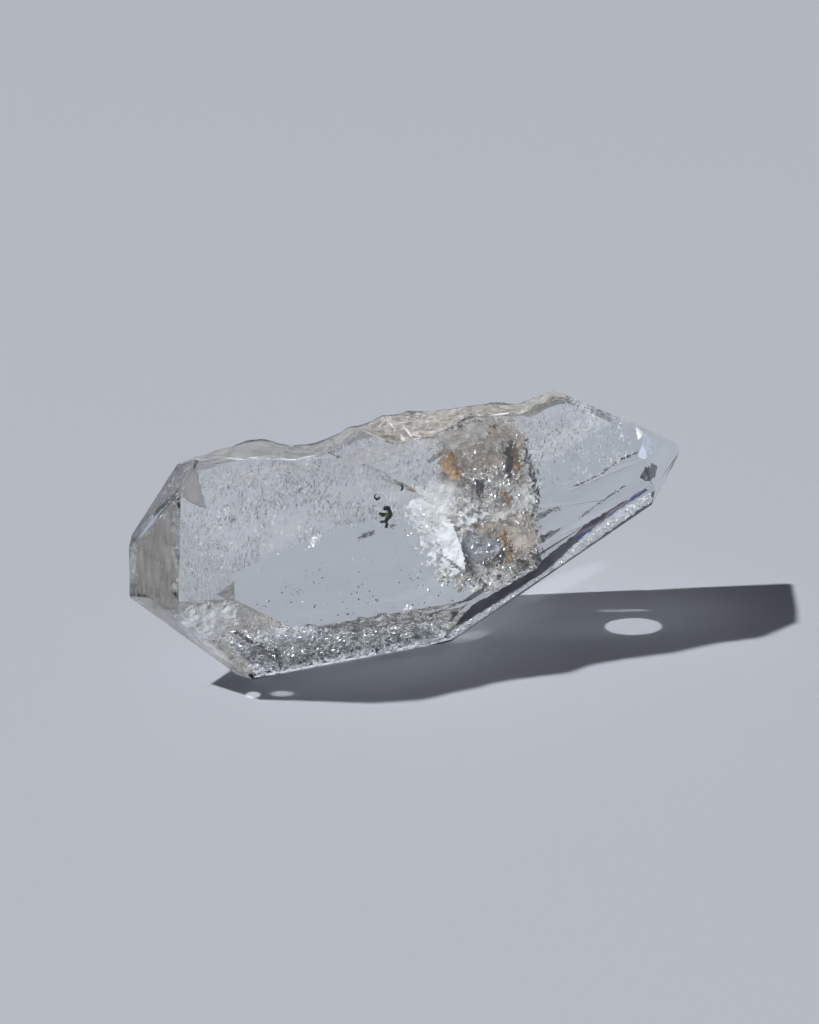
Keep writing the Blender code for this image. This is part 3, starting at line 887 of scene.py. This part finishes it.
# grey sheets put in as painted shade: two in the wedge right of the cracks, and a small dark triangle at
# the back
shadeFilms = {
    "wedge_film_upper": {
        "y": 0.6, "cell": 0.12, "seed": 199, "ragged": 0.15,
        "outline": [(13.6, 11.7), (14.0, 12.9), (15.4, 13.3), (17.0, 13.6), (15.4, 12.6)]},
    "wedge_film_lower": {
        "y": 0.6, "cell": 0.12, "seed": 201, "ragged": 0.15,
        "outline": [(13.9, 8.8), (14.2, 10.0), (15.6, 10.5), (17.2, 10.8), (15.8, 9.7)]},
    "back_triangle": {
        "y": 3.6, "cell": 0.12, "seed": 203, "ragged": 0.06,
        "outline": [(-23.4, 8.6), (-21.1, 10.1), (-21.3, 7.2)]},
}
feather = {
    "y": -0.9, "cell": 0.1, "seed": 205, "ragged": 0.06,
    "outline": [(-5.7, 21.2), (-4.46, 20.7), (-3.56, 20.36), (-2.66, 19.86), (-1.75, 19.3), (-0.97, 18.6),
                (-0.64, 18.14), (-1.49, 18.5), (-2.27, 18.9), (-3.05, 19.5), (-3.95, 19.9), (-4.98, 20.5)]}
featherRust = {
    "count": 22, "size": (0.1, 0.24), "stretch": (2.0, 0.4, 0.6), "turn": 0.5, "seed": 207, "spread": 0.08,
    "path": [(-1.94, -1.0, 19.05), (-1.62, -1.0, 18.83), (-1.16, -1.0, 18.52)]}
specks = {
    "branched_speck": {
        "count": 60, "size": (0.32, 0.5), "seed": 71, "spread": 0.04,
        "path": [(-4.69, -1.0, 17.03), (-4.42, -1.0, 17.1), (-4.16, -1.0, 16.9), (-4.06, -1.0, 16.5),
                 (-4.07, -1.0, 16.1), (-4.27, -1.0, 15.82), (-4.54, -1.0, 15.84)]},
    "branched_speck_arm": {
        "count": 26, "size": (0.22, 0.36), "seed": 72, "spread": 0.04,
        "path": [(-5.26, -1.0, 16.65), (-5.03, -1.0, 16.4), (-4.84, -1.0, 16.1), (-4.72, -1.0, 16.43),
                 (-4.87, -1.0, 16.56)]},
    "branched_speck_foot": {
        "count": 44, "size": (0.2, 0.32), "seed": 75, "spread": 0.06,
        "path": [(-5.1, -1.0, 15.55), (-4.7, -1.0, 15.42), (-4.45, -1.0, 15.7), (-4.45, -1.0, 15.24),
                 (-4.5, -1.0, 14.95), (-4.52, -1.0, 14.75)]},
    "round_speck": {
        "count": 30, "size": (0.17, 0.25), "seed": 73, "spread": 0.02,
        "path": [(-5.72, -1.0, 18.97), (-5.9, -1.0, 18.7), (-5.76, -1.0, 18.39), (-5.51, -1.0, 18.28),
                 (-5.3, -1.0, 18.45)]},
    "hooked_speck": {
        "count": 22, "size": (0.2, 0.3), "seed": 74, "spread": 0.02,
        "path": [(-2.85, -1.0, 19.59), (-2.66, -1.0, 19.36), (-2.62, -1.0, 19.13), (-2.76, -1.0, 18.94)]},
}
speckGreen = {
    "count": 14, "size": (0.16, 0.26), "seed": 76, "spread": 0.06,
    "path": [(-4.6, -1.35, 16.73), (-4.48, -1.35, 16.38), (-4.6, -1.35, 16.11)]}
smudgeGrains = {
    "grey_smudge": {
        "count": 170, "size": (0.08, 0.24), "stretch": (1.5, 0.4, 0.8), "seed": 77, "spread": 0.17,
        "path": [(-7.5, -0.9, 14.1), (-6.8, -0.9, 14.25), (-5.9, -0.9, 14.3)]},
    "speck_tail": {
        "count": 30, "size": (0.1, 0.22), "stretch": (1.5, 0.4, 0.8), "seed": 78, "spread": 0.12,
        "path": [(-4.3, -0.9, 14.81), (-3.84, -0.9, 14.7), (-3.39, -0.9, 14.8)]},
}
etchedFields = {
    "upper": [(-23.5, 10.0), (-27.0, 12.0), (-24.2, 21.0), (-16.5, 26.5), (-5.0, 25.5), (0.5, 26.0),
              (3.0, 19.0), (0.0, 13.2), (-7.0, 13.4), (-16.0, 13.4), (-21.0, 10.6)],
    "right": [(12.5, 24.0), (16.5, 25.4), (20.0, 24.4), (25.4, 21.0), (26.0, 18.0), (19.2, 15.2),
              (14.5, 14.5), (13.3, 19.2)],
}
darkDashes = {
    "dashes_upper": {
        "count": 620, "size": (0.04, 0.1), "stretch": (0.8, 0.6, 5.0), "turn": 0.35, "side": "back",
        "inset": (0.2, 0.9), "patchSize": 2.2, "even": 0.0, "seed": 81, "outline": etchedFields["upper"]},
    "dashes_dense": {
        "count": 520, "size": (0.04, 0.12), "stretch": (0.8, 0.6, 4.5), "turn": 0.35, "side": "back",
        "inset": (0.2, 0.6), "patchSize": 1.3, "even": 0.1, "seed": 83,
        "outline": [(-23.0, 17.0), (-22.0, 23.0), (-16.5, 25.5), (-11.0, 22.5), (-12.5, 17.5),
                    (-17.0, 17.0)]},
    "dashes_right": {
        "count": 300, "size": (0.04, 0.1), "stretch": (0.8, 0.6, 4.0), "turn": 0.35, "side": "back",
        "inset": (0.2, 0.7), "patchSize": 2.0, "even": 0.1, "seed": 85, "outline": etchedFields["right"]},
    "dashes_window": {
        "count": 190, "size": (0.1, 0.24), "stretch": (1.0, 0.6, 1.2), "turn": 1.2, "side": "front",
        "inset": (0.6, 3.0), "patchSize": 5.0, "even": 0.5, "seed": 87,
        "outline": [(-21.0, 9.0), (-12.0, 13.4), (-1.7, 12.0), (5.9, 6.7), (3.2, 2.4), (-15.7, 3.6)]},
}
paleDashes = {
    "pale_upper": {
        "count": 800, "size": (0.05, 0.15), "stretch": (0.8, 0.6, 4.0), "turn": 0.3, "side": "back",
        "inset": (0.2, 1.6), "patchSize": 2.4, "even": 0.1, "seed": 91, "outline": etchedFields["upper"]},
    "pale_right": {
        "count": 460, "size": (0.05, 0.15), "stretch": (0.8, 0.6, 4.0), "turn": 0.3, "side": "back",
        "inset": (0.2, 1.2), "patchSize": 2.0, "even": 0.1, "seed": 93, "outline": etchedFields["right"]},
}
lines = {
    "step_line_right": {
        "count": 130, "size": (0.1, 0.2), "stretch": (2.2, 0.7, 0.7), "turn": 0.3, "seed": 101,
        "spread": 0.07,
        "path": [(19.1, 2.9, 14.9), (22.0, 2.5, 16.0), (24.6, 2.1, 17.6), (27.0, 1.6, 18.4)]},
    "step_line_lower": {
        "count": 110, "size": (0.09, 0.18), "stretch": (2.2, 0.7, 0.7), "turn": 0.3, "seed": 103,
        "spread": 0.08, "path": [(18.6, -0.5, 11.6), (21.5, -0.5, 13.4), (24.5, -0.5, 15.0)]},
    "step_line_left": {
        "count": 110, "size": (0.08, 0.16), "stretch": (2.6, 0.7, 0.8), "turn": 0.3, "seed": 105,
        "spread": 0.08, "path": [(-3.2, -4.9, 3.5), (0.3, -4.9, 4.4), (3.8, -4.9, 5.3)]},
    "band_top_line": {
        "count": 170, "size": (0.07, 0.17), "stretch": (3.0, 0.6, 0.7), "turn": 0.2, "seed": 115,
        "spread": 0.1,
        "path": [(-12.6, -4.9, 4.3), (-8.6, -4.9, 3.9), (-4.4, -4.9, 3.8), (0.4, -4.9, 3.6)]},
    "band_low_line": {
        "count": 200, "size": (0.06, 0.15), "stretch": (3.2, 0.6, 0.6), "turn": 0.2, "seed": 116,
        "spread": 0.14,
        "path": [(-16.8, -4.9, 1.5), (-12.0, -4.9, 1.7), (-6.0, -4.9, 1.5), (0.0, -4.9, 1.7)]},
    "crack_left_low": {
        "count": 220, "size": (0.1, 0.24), "stretch": (1.8, 0.8, 0.9), "turn": 0.5, "seed": 107,
        "spread": 0.1, "path": [(-22.9, -4.9, 6.5), (-20.7, -4.9, 4.7), (-18.2, -4.9, 2.7)]},
    "crack_left_end": {
        "count": 90, "size": (0.07, 0.15), "stretch": (0.9, 0.8, 2.0), "turn": 0.4, "seed": 108,
        "spread": 0.07, "path": [(-19.2, -4.9, 5.4), (-18.2, -4.9, 2.9), (-17.7, -4.9, 0.8)]},
    "wall_line": {
        "count": 190, "size": (0.12, 0.3), "stretch": (0.8, 0.8, 2.6), "turn": 0.5, "seed": 109,
        "spread": 0.22,
        "path": [(11.7, -0.9, 22.5), (12.9, -0.9, 18.5), (13.5, -0.9, 15.8), (12.9, -0.9, 11.2),
                 (13.8, -0.9, 7.5)]},
    "wedge_upper": {
        "count": 60, "size": (0.08, 0.2), "stretch": (2.2, 0.8, 1.0), "turn": 0.5, "seed": 110,
        "spread": 0.1, "path": [(13.9, 1.1, 12.4), (15.2, 1.1, 12.7), (16.7, 1.1, 13.1)]},
    "wedge_lower": {
        "count": 60, "size": (0.08, 0.2), "stretch": (2.2, 0.8, 1.0), "turn": 0.5, "seed": 111,
        "spread": 0.12, "path": [(14.3, 1.1, 9.8), (15.6, 1.1, 9.9), (16.9, 1.1, 10.4)]},
    "feather_line": {
        "count": 120, "size": (0.06, 0.14), "stretch": (2.4, 0.7, 0.8), "turn": 0.4, "seed": 113,
        "spread": 0.07,
        "path": [(-11.4, -0.9, 24.9), (-9.8, -0.9, 24.0), (-6.0, -0.9, 22.1), (-3.0, -0.9, 19.9),
                 (0.8, -0.9, 16.9)]},
}


def darkGrain(name, light, dark, roughness, sheen=0.5):
    # small dark grain, nearly black with a faint sheen: mineral grains, and also painted shade on some
    # pieces
    material, tree, shader = newMaterial(name)
    mottle = addNode(tree, "ShaderNodeTexNoise", {"Scale": 1.0, "Detail": 4.0},
                     {"Vector": inMillimetres(tree, (2.5, 2.5, 2.5))})
    tone = setRamp(addNode(tree, "ShaderNodeValToRGB", {}, {"Fac": mottle.outputs["Fac"]}),
                   [(0.3, rgb(dark)), (0.7, rgb(light))])
    shader.inputs["Roughness"].default_value = roughness
    shader.inputs["Specular IOR Level"].default_value = sheen
    tree.links.new(tone, shader.inputs["Base Color"])
    return material


def makeSmallMarks():
    print("small marks: specks, etched dashes and broken lines")
    mineral = darkGrain("dark_chlorite_grain", "#0b0d08", "#020301", 0.6, 0.1)
    for key, grains in specks.items():
        makeGrains(key, grains, mineral)
    green = darkGrain("green_chlorite_grain", "#5a6b2a", "#26300f", 0.5, 0.2)
    makeGrains("branched_speck_green", speckGreen, green)
    smudge = darkGrain("grey_violet_crack_grain", "#72727c", "#3a3a43", 0.5)
    for key, grains in smudgeGrains.items():
        makeGrains(key, grains, smudge)
    pit = darkGrain("shadowed_etch_pit", "#7f8287", "#4b4e52", 0.5)
    seam = darkGrain("dark_crack_seam", "#55585c", "#222427", 0.45)
    for key, grains in darkDashes.items():
        makeGrains(key, grains, seam if key == "dashes_window" else pit)
    bubble = paleVeil("bright_bubble_trail_and_glint", "#fdfdff", "#dfe2e6", 0.2, 0.3)
    for key, grains in paleDashes.items():
        makeGrains(key, grains, bubble)
    # the sparks use the same pale grains, here as painted glints
    for key, grains in sparks.items():
        makeGrains(key, grains, bubble)
    # painted shade: grey see-through sheets
    shadow = thinStain("painted_shade_grey_film", "#a09c98", "#66676a", (0.2, 0.85), (1.4, 1.4, 1.4))
    for key, veil in shadeFilms.items():
        makeVeil(key, veil, shadow)
    thin = thinStain("thin_crack_edge", "#b4b5b0", "#6c6e69", (0.1, 0.75), (1.6, 1.6, 1.6))
    makeVeil("feather_film", feather, thin)
    makeGrains("feather_rust", featherRust, darkGrain("light_goethite_grain", "#a98a66", "#6d563e", 0.5))
    for key, grains in lines.items():
        makeGrains(key, grains, seam)


lowBand = {
    "band_bright": {
        "count": 1800, "size": (0.06, 0.32), "stretch": (2.6, 0.5, 0.6), "turn": 0.9, "side": "front",
        "inset": (0.15, 1.2), "patchSize": 0.9, "even": 0.0, "seed": 121,
        "outline": [(-24.6, 7.6), (-22.8, 6.6), (-19.1, 5.9), (-17.4, 6.2), (-14.0, 5.2), (-8.9, 3.8),
                    (-2.9, 3.6), (2.4, 2.6), (2.1, 1.1), (-6.3, 0.8), (-19.4, 0.8), (-22.6, 3.6)]},
    "band_dark": {
        "count": 1100, "size": (0.06, 0.26), "stretch": (3.2, 0.5, 0.5), "turn": 0.5, "side": "front",
        "inset": (0.12, 0.9), "patchSize": 0.7, "even": 0.0, "seed": 123,
        "outline": [(-23.2, 5.6), (-19.1, 5.4), (-17.4, 6.0), (-14.0, 5.0), (-8.9, 3.6), (-2.9, 3.4),
                    (2.4, 2.5), (2.1, 1.0), (-6.3, 0.7), (-19.6, 0.7), (-22.6, 3.4)]},
}
lowVeil = {
    "y": -3.8, "lean": (0.0, 0.5), "facet": 0.4, "pull": 0.5, "cuts": 1, "seed": 127, "ragged": 0.5,
    "holes": 0.55, "holeSize": 0.7, "crumple": [(0.2, 0.2)],
    "outline": [(-23.4, 4.8), (-17.4, 5.4), (-14.0, 4.6), (-8.9, 3.3), (-2.9, 3.1), (2.2, 2.2), (2.2, 0.4),
                (-6.3, 0.3), (-20.4, 0.3)]}
milkyPatch = {
    "y": -3.6, "lean": (0.2, 0.0), "facet": 1.2, "pull": 0.4, "cuts": 4, "seed": 129, "ragged": 0.9,
    "crumple": [(0.3, 0.5)],
    "outline": [(-28.6, 9.9), (-24.3, 9.8), (-21.6, 8.4), (-23.4, 5.6), (-27.0, 4.6), (-29.4, 7.7)]}
# painted highlight: a pale sheet along the lower front edge, where light comes through the stone
baseEdge = {
    "inset": 0.12, "cell": 0.12, "seed": 135, "ragged": 0.05,
    "outline": [(-21.2, 0.05), (-20.4, 0.55), (-14.0, 0.6), (-6.0, 0.6), (1.6, 0.7), (3.0, 0.6), (2.6, 0.1),
                (-6.0, 0.1), (-14.0, 0.05)]}
# painted reflection: the dark violet film under the lower right edge
stripDark = {
    "inset": 0.35, "cell": 0.2, "seed": 131, "ragged": 0.12,
    "outline": [(2.0, 1.2), (4.7, 4.6), (7.6, 5.7), (12.7, 7.7), (13.5, 9.0), (17.3, 11.4), (18.0, 12.2),
                (25.8, 15.8), (26.2, 15.1), (22.5, 13.3), (18.1, 10.5), (14.0, 6.9), (7.8, 3.9),
                (2.9, 1.8)]}
stripPale = {
    "inset": 0.45, "cell": 0.15, "seed": 137, "ragged": 0.25,
    "outline": [(1.8, 1.0), (7.8, 3.9), (14.0, 6.9), (18.0, 10.4), (22.6, 13.2), (26.6, 14.9), (27.4, 13.6),
                (22.6, 10.8), (18.0, 8.2), (14.0, 5.2), (7.8, 1.8), (3.0, 0.1)]}
stripLight = {
    "count": 900, "size": (0.07, 0.3), "stretch": (1.6, 0.6, 0.8), "turn": 3.2, "seed": 133,
    "side": "front", "inset": (0.1, 0.5), "patchSize": 1.2, "even": 0.3,
    "outline": [(2.6, 1.4), (7.8, 3.7), (14.0, 6.7), (18.0, 10.0), (22.6, 12.6), (26.6, 14.9), (27.2, 13.6),
                (22.6, 11.0), (18.0, 8.4), (14.0, 5.4), (7.8, 2.0), (3.0, 0.2)]}


def rainbowFilm():
    # painted reflection under the lower right edge: dark violet where the face mirrors the dark
    # surroundings, with painted bands of rainbow colour from split light along it
    material, tree, shader = newMaterial("painted_dark_reflection_film")
    across = addNode(tree, "ShaderNodeSeparateXYZ", {},
                     {"Vector": inMillimetres(tree, (1, 1, 1), (0, 0, 0), (0, math.radians(30), 0))})
    wave = addNode(tree, "ShaderNodeTexNoise", {"Scale": 1.0, "Detail": 4.0},
                   {"Vector": inMillimetres(tree, (0.5, 0.5, 0.5))})
    place = addNode(tree, "ShaderNodeMath", {"operation": "MULTIPLY_ADD"}, {0: across.outputs["Z"]})
    place.inputs[1].default_value = 0.45
    tree.links.new(wave.outputs["Fac"], place.inputs[2])
    band = addNode(tree, "ShaderNodeMath", {"operation": "FRACT"}, {0: place.outputs["Value"]})
    bright = setRamp(addNode(tree, "ShaderNodeValToRGB", {}, {"Fac": band.outputs["Value"]}), [
        (0.0, rgb("#5c5c68")), (0.4, rgb("#62627a")), (0.58, rgb("#6f7cb4")), (0.68, rgb("#a29dc6")),
        (0.75, rgb("#c9b296")), (0.82, rgb("#85808a")), (1.0, rgb("#5c5c68"))])
    plain = setRamp(addNode(tree, "ShaderNodeValToRGB", {}, {"Fac": wave.outputs["Fac"]}),
                    [(0.35, rgb("#4c4c56")), (0.65, rgb("#66666f"))])
    along = addNode(tree, "ShaderNodeMapRange", {"From Min": 19.5, "From Max": 22.0},
                    {"Value": across.outputs["X"]})
    tone = addNode(tree, "ShaderNodeMix", {"data_type": "RGBA"}, {0: along.outputs["Result"]})
    tree.links.new(plain, tone.inputs[6])
    tree.links.new(bright, tone.inputs[7])
    shader.inputs["Roughness"].default_value = 0.3
    shader.inputs["Metallic"].default_value = 0.5
    tree.links.new(tone.outputs[2], shader.inputs["Base Color"])
    return material


def makeLowEdge():
    print("lower edge: sparkling band, milky corner and the film under the right edge")
    glitter = brightFlake("bright_broken_quartz_grain", "#ffffff", "#c6cacf")
    shade = darkGrain("shaded_broken_quartz_grain", "#5d6064", "#2a2d31", 0.4)
    makeGrains("band_bright", lowBand["band_bright"], glitter)
    makeGrains("band_dark", lowBand["band_dark"], shade)
    makeVeil("low_band_veil", lowVeil, silveryCrack("glassy_step_fracture", "#757a7f", "#b6bac0", 0.3))
    milky = thinStain("milky_bubble_veil", "#dde0e5", "#b2b7be", (0.05, 0.7), (0.9, 0.9, 0.9))
    makeVeil("milky_patch", milkyPatch, milky)
    # the base edge film is a painted highlight: a pale sheet where the edge looks lit
    makeVeil("base_edge_film", baseEdge, paleVeil("painted_bright_base_edge", "#eef1f4", "#c3c8ce", 0.0, 0.4))
    makeVeil("right_edge_film", stripDark, rainbowFilm())
    pale = paleVeil("pale_step_film", "#dde1e7", "#a3a8b0", 0.1, 0.4)
    makeVeil("right_edge_pale", stripPale, pale)
    sparkle = brightFlake("bright_edge_grain", "#ffffff", "#e3e6ea")
    makeGrains("right_edge_glitter", stripLight, sparkle)


# painted light: see-through sheets that lift the dark look of the left faces to a grey mid-tone
leftPaintedLight = {
    "inset": 0.3, "cell": 0.3, "seed": 141, "ragged": 0.3, "smooth": True,
    "outline": [(-32.0, 16.7), (-28.6, 23.0), (-28.9, 13.9), (-29.5, 9.9), (-32.7, 10.8), (-32.6, 15.1)]}
leftTriangle = {
    "y": -4.6, "lean": (0.1, -0.1), "cell": 0.25, "seed": 143, "ragged": 0.1, "smooth": True,
    "outline": [(-26.4, 27.2), (-25.2, 21.0), (-28.3, 23.2), (-27.1, 26.4)]}
tipVeil = {
    "left_edge": {
        "inset": 0.15, "cell": 0.08, "seed": 149, "ragged": 0.04,
        "outline": [(-28.6, 24.0), (-28.4, 23.7), (-31.8, 17.3), (-32.0, 17.3)]},
    "tip_white": {
        "inset": 0.25, "cell": 0.15, "seed": 151, "ragged": 0.05,
        "outline": [(24.1, 23.4), (25.4, 22.3), (24.4, 21.6)]},
    "tip_pale": {
        "inset": 0.3, "cell": 0.2, "seed": 153, "ragged": 0.05,
        "outline": [(24.5, 20.0), (25.4, 22.2), (28.0, 20.3), (29.0, 18.7), (24.7, 19.4)]},
}
tipDark = {
    "y": -3.2, "lean": (0.3, 0.3), "cell": 0.15, "seed": 155, "ragged": 0.05, "crumple": [(0.2, 0.8)],
    "outline": [(25.4, 16.6), (26.2, 17.7), (27.9, 17.0), (27.0, 15.8), (26.2, 15.9)]}


def makeEnds():
    print("ends: brownish left face, and the small facets of the tip")
    # painted light: brown-grey and grey sheets over the left faces, lighter than these faces render
    brown = thinStain("painted_light_left_wall_film", "#8f8a87", "#605e5f", (0.3, 0.85), (2.6, 1.0, 0.35))
    makeVeil("left_wall_film", leftPaintedLight, brown)
    grey = thinStain("painted_light_left_triangle_film", "#a5a3a2", "#8b8988", (0.55, 0.75), (1.6, 1.0, 0.4))
    makeVeil("left_triangle_film", leftTriangle, grey)
    # painted highlight: a white sheet where the small tip facet mirrors the light
    white = paleVeil("painted_tip_highlight", "#ffffff", "#eef1f5", 0.1, 0.3)
    makeVeil("tip_white", tipVeil["tip_white"], white)
    # painted highlight: a thin blue-grey sheet along the upper left edge, where the edge catches the light
    edge = paleVeil("painted_edge_glint_film", "#8d93a6", "#6c7182", 0.0, 0.8)
    makeVeil("left_edge_film", tipVeil["left_edge"], edge)
    # painted reflection: a pale bluish see-through sheet on the facet beside the highlight
    blue = thinStain("painted_blue_tip_reflection", "#e9effa", "#cdd6e6", (0.5, 0.75), (1, 1, 1), 0.3)
    makeVeil("tip_pale", tipVeil["tip_pale"], blue)
    # painted shade: a dark sheet where the tip facet looks dark
    dark = darkGrain("painted_shade_tip_facet", "#4a4d57", "#2e3036", 0.35)
    makeVeil("tip_dark", tipDark, dark)


# camera, floor and light

view = {
    "cameraAt": (-83.82, -216.55, 122.88),
    "pitch": 25.0,
    "yaw": 21.0,
    "focal": 2300.0,          # in pixels, for a picture this high
    "pictureHeight": 1024,
    "sensor": 36.0,
}
stage = {
    "floorSize": 6.0,         # in metres
    "floorColour": "#c7ccd5",
    "horizonColour": "#73767b",
    "zenithColour": "#3a3c3f",
    "sunStrength": 3.05,
    "sunSoftness": 1.6,
    "sunHeight": 50.5,
    "sunTurn": -26.5,         # where the shadow points, from +X
    "boxSize": 0.14,          # soft boxes that light the veils inside the stone
    "boxFar": 0.55,           # both in metres
    "boxAim": 12.0,           # the height that they point at
    "boxes": {"left": {"from": (-0.45, -0.45, 0.58), "power": 3.5},
              "right": {"from": (0.45, -0.72, 0.1), "power": 1.1},
              "back": {"from": (0.25, 0.8, 0.45), "power": 3.2}},
}
glows = {                     # light that the stone bends onto the floor: place, half sizes and power
    "oval": {"at": (23.4, -8.6), "half": (3.5, 2.2), "turn": -17, "power": 0.24, "blend": 0.25},
    "streak": {"at": (24.0, -4.6), "half": (3.4, 0.35), "turn": -19, "power": 0.1, "blend": 0.4},
    "patch": {"at": (20.5, 4.6), "half": (9.5, 2.2), "turn": 23, "power": 0.05, "blend": 0.9},
    "spot_left": {"at": (-21.9, -8.1), "half": (1.0, 0.9), "turn": -21, "power": 0.3, "blend": 0.8},
    "spot_right": {"at": (-18.9, -9.0), "half": (1.6, 0.8), "turn": -21, "power": 0.2, "blend": 0.9},
    "base": {"at": (5.0, -4.2), "half": (3.4, 1.2), "turn": 10, "power": 0.08, "blend": 0.9},
    "middle": {"at": (18.0, -7.5), "half": (12.0, 3.2), "turn": -14, "power": 0.012, "blend": 1.0},
}
glowHeight = 100.0            # of the lamps above the floor


def makeCamera():
    data = bpy.data.cameras.new("camera")
    camera = bpy.data.objects.new("camera", data)
    bpy.context.collection.objects.link(camera)
    data.sensor_width = view["sensor"]
    data.lens = view["focal"] / view["pictureHeight"] * view["sensor"]
    data.clip_start = 0.01
    data.clip_end = 20.0
    camera.location = Vector(view["cameraAt"]) * mm
    camera.rotation_euler = (math.radians(90 - view["pitch"]), 0, -math.radians(view["yaw"]))
    bpy.context.scene.camera = camera


def makeSun(name, strength, height, turn, softness):
    data = bpy.data.lights.new(name, "SUN")
    data.energy = strength
    data.angle = math.radians(softness)
    sun = bpy.data.objects.new(name, data)
    bpy.context.collection.objects.link(sun)
    travel = Euler((0, math.radians(height), math.radians(turn))).to_matrix() @ Vector((1, 0, 0))
    sun.rotation_euler = travel.to_track_quat("-Z", "Y").to_euler()
    sun.location = -travel
    return sun


def makeStage():
    print("stage: floor, world and sun")
    bpy.ops.mesh.primitive_plane_add(size=stage["floorSize"], location=(0, 0, 0))
    floor = bpy.context.active_object
    floor.name = "floor"
    material, tree, shader = newMaterial("painted_floor")
    shader.inputs["Base Color"].default_value = rgb(stage["floorColour"])
    shader.inputs["Roughness"].default_value = 0.55
    shader.inputs["Specular IOR Level"].default_value = 0.25
    floor.data.materials.append(material)
    world = bpy.data.worlds.new("studio")
    world.use_nodes = True
    background = world.node_tree.nodes["Background"]
    toward = addNode(world.node_tree, "ShaderNodeTexCoord")
    height = addNode(world.node_tree, "ShaderNodeSeparateXYZ", {}, {"Vector": toward.outputs["Generated"]})
    sky = setRamp(addNode(world.node_tree, "ShaderNodeValToRGB", {}, {"Fac": height.outputs["Z"]}),
                  [(0.3, rgb(stage["horizonColour"])), (0.65, rgb(stage["zenithColour"]))])
    world.node_tree.links.new(sky, background.inputs["Color"])
    bpy.context.scene.world = world
    makeSun("key_sun", stage["sunStrength"], stage["sunHeight"], stage["sunTurn"], stage["sunSoftness"])
    bpy.context.scene.view_settings.view_transform = "Standard"


def lightVeils():
    # soft boxes that reach only the veils, as light bent into the stone does, without its noise
    lit = bpy.data.collections.new("veils")
    for obj in innerPieces:
        lit.objects.link(obj)
    for key, box in stage["boxes"].items():
        data = bpy.data.lights.new(f"soft_box_{key}", "AREA")
        data.shape = "DISK"
        data.size = stage["boxSize"]
        data.energy = box["power"]
        lamp = bpy.data.objects.new(f"soft_box_{key}", data)
        bpy.context.collection.objects.link(lamp)
        away = Vector(box["from"]).normalized() * stage["boxFar"]
        lamp.location = away + Vector((0, 0, stage["boxAim"] * mm))
        lamp.rotation_euler = (-away).to_track_quat("-Z", "Y").to_euler()
        lamp.light_linking.receiver_collection = lit
        lamp.light_linking.blocker_collection = lit


def makeGlows():
    print("glows: bright spots that the stone casts on the floor")
    onFloor = bpy.data.collections.new("floor_only")
    onFloor.objects.link(bpy.data.objects["floor"])
    for key, glow in glows.items():
        data = bpy.data.lights.new(f"glow_{key}", "SPOT")
        data.energy = glow["power"]
        data.shadow_soft_size = 0.0
        data.spot_blend = glow["blend"]
        data.spot_size = 2 * math.atan(glow["half"][0] / glowHeight)
        spot = bpy.data.objects.new(f"glow_{key}", data)
        bpy.context.collection.objects.link(spot)
        spot.location = (glow["at"][0] * mm, glow["at"][1] * mm, glowHeight * mm)
        spot.rotation_euler = (0, 0, math.radians(glow["turn"]))
        spot.scale = (1, glow["half"][1] / glow["half"][0], 1)
        spot.light_linking.receiver_collection = onFloor
        spot.light_linking.blocker_collection = onFloor


makeCamera()
makeStage()
makeGlows()
body = makeCrystal()
stoneTree = BVHTree.FromObject(body, bpy.context.evaluated_depsgraph_get())
makeTopSkin()
makeCracks()
makeStains()
makeSmallMarks()
makeLowEdge()
makeEnds()
lightVeils()
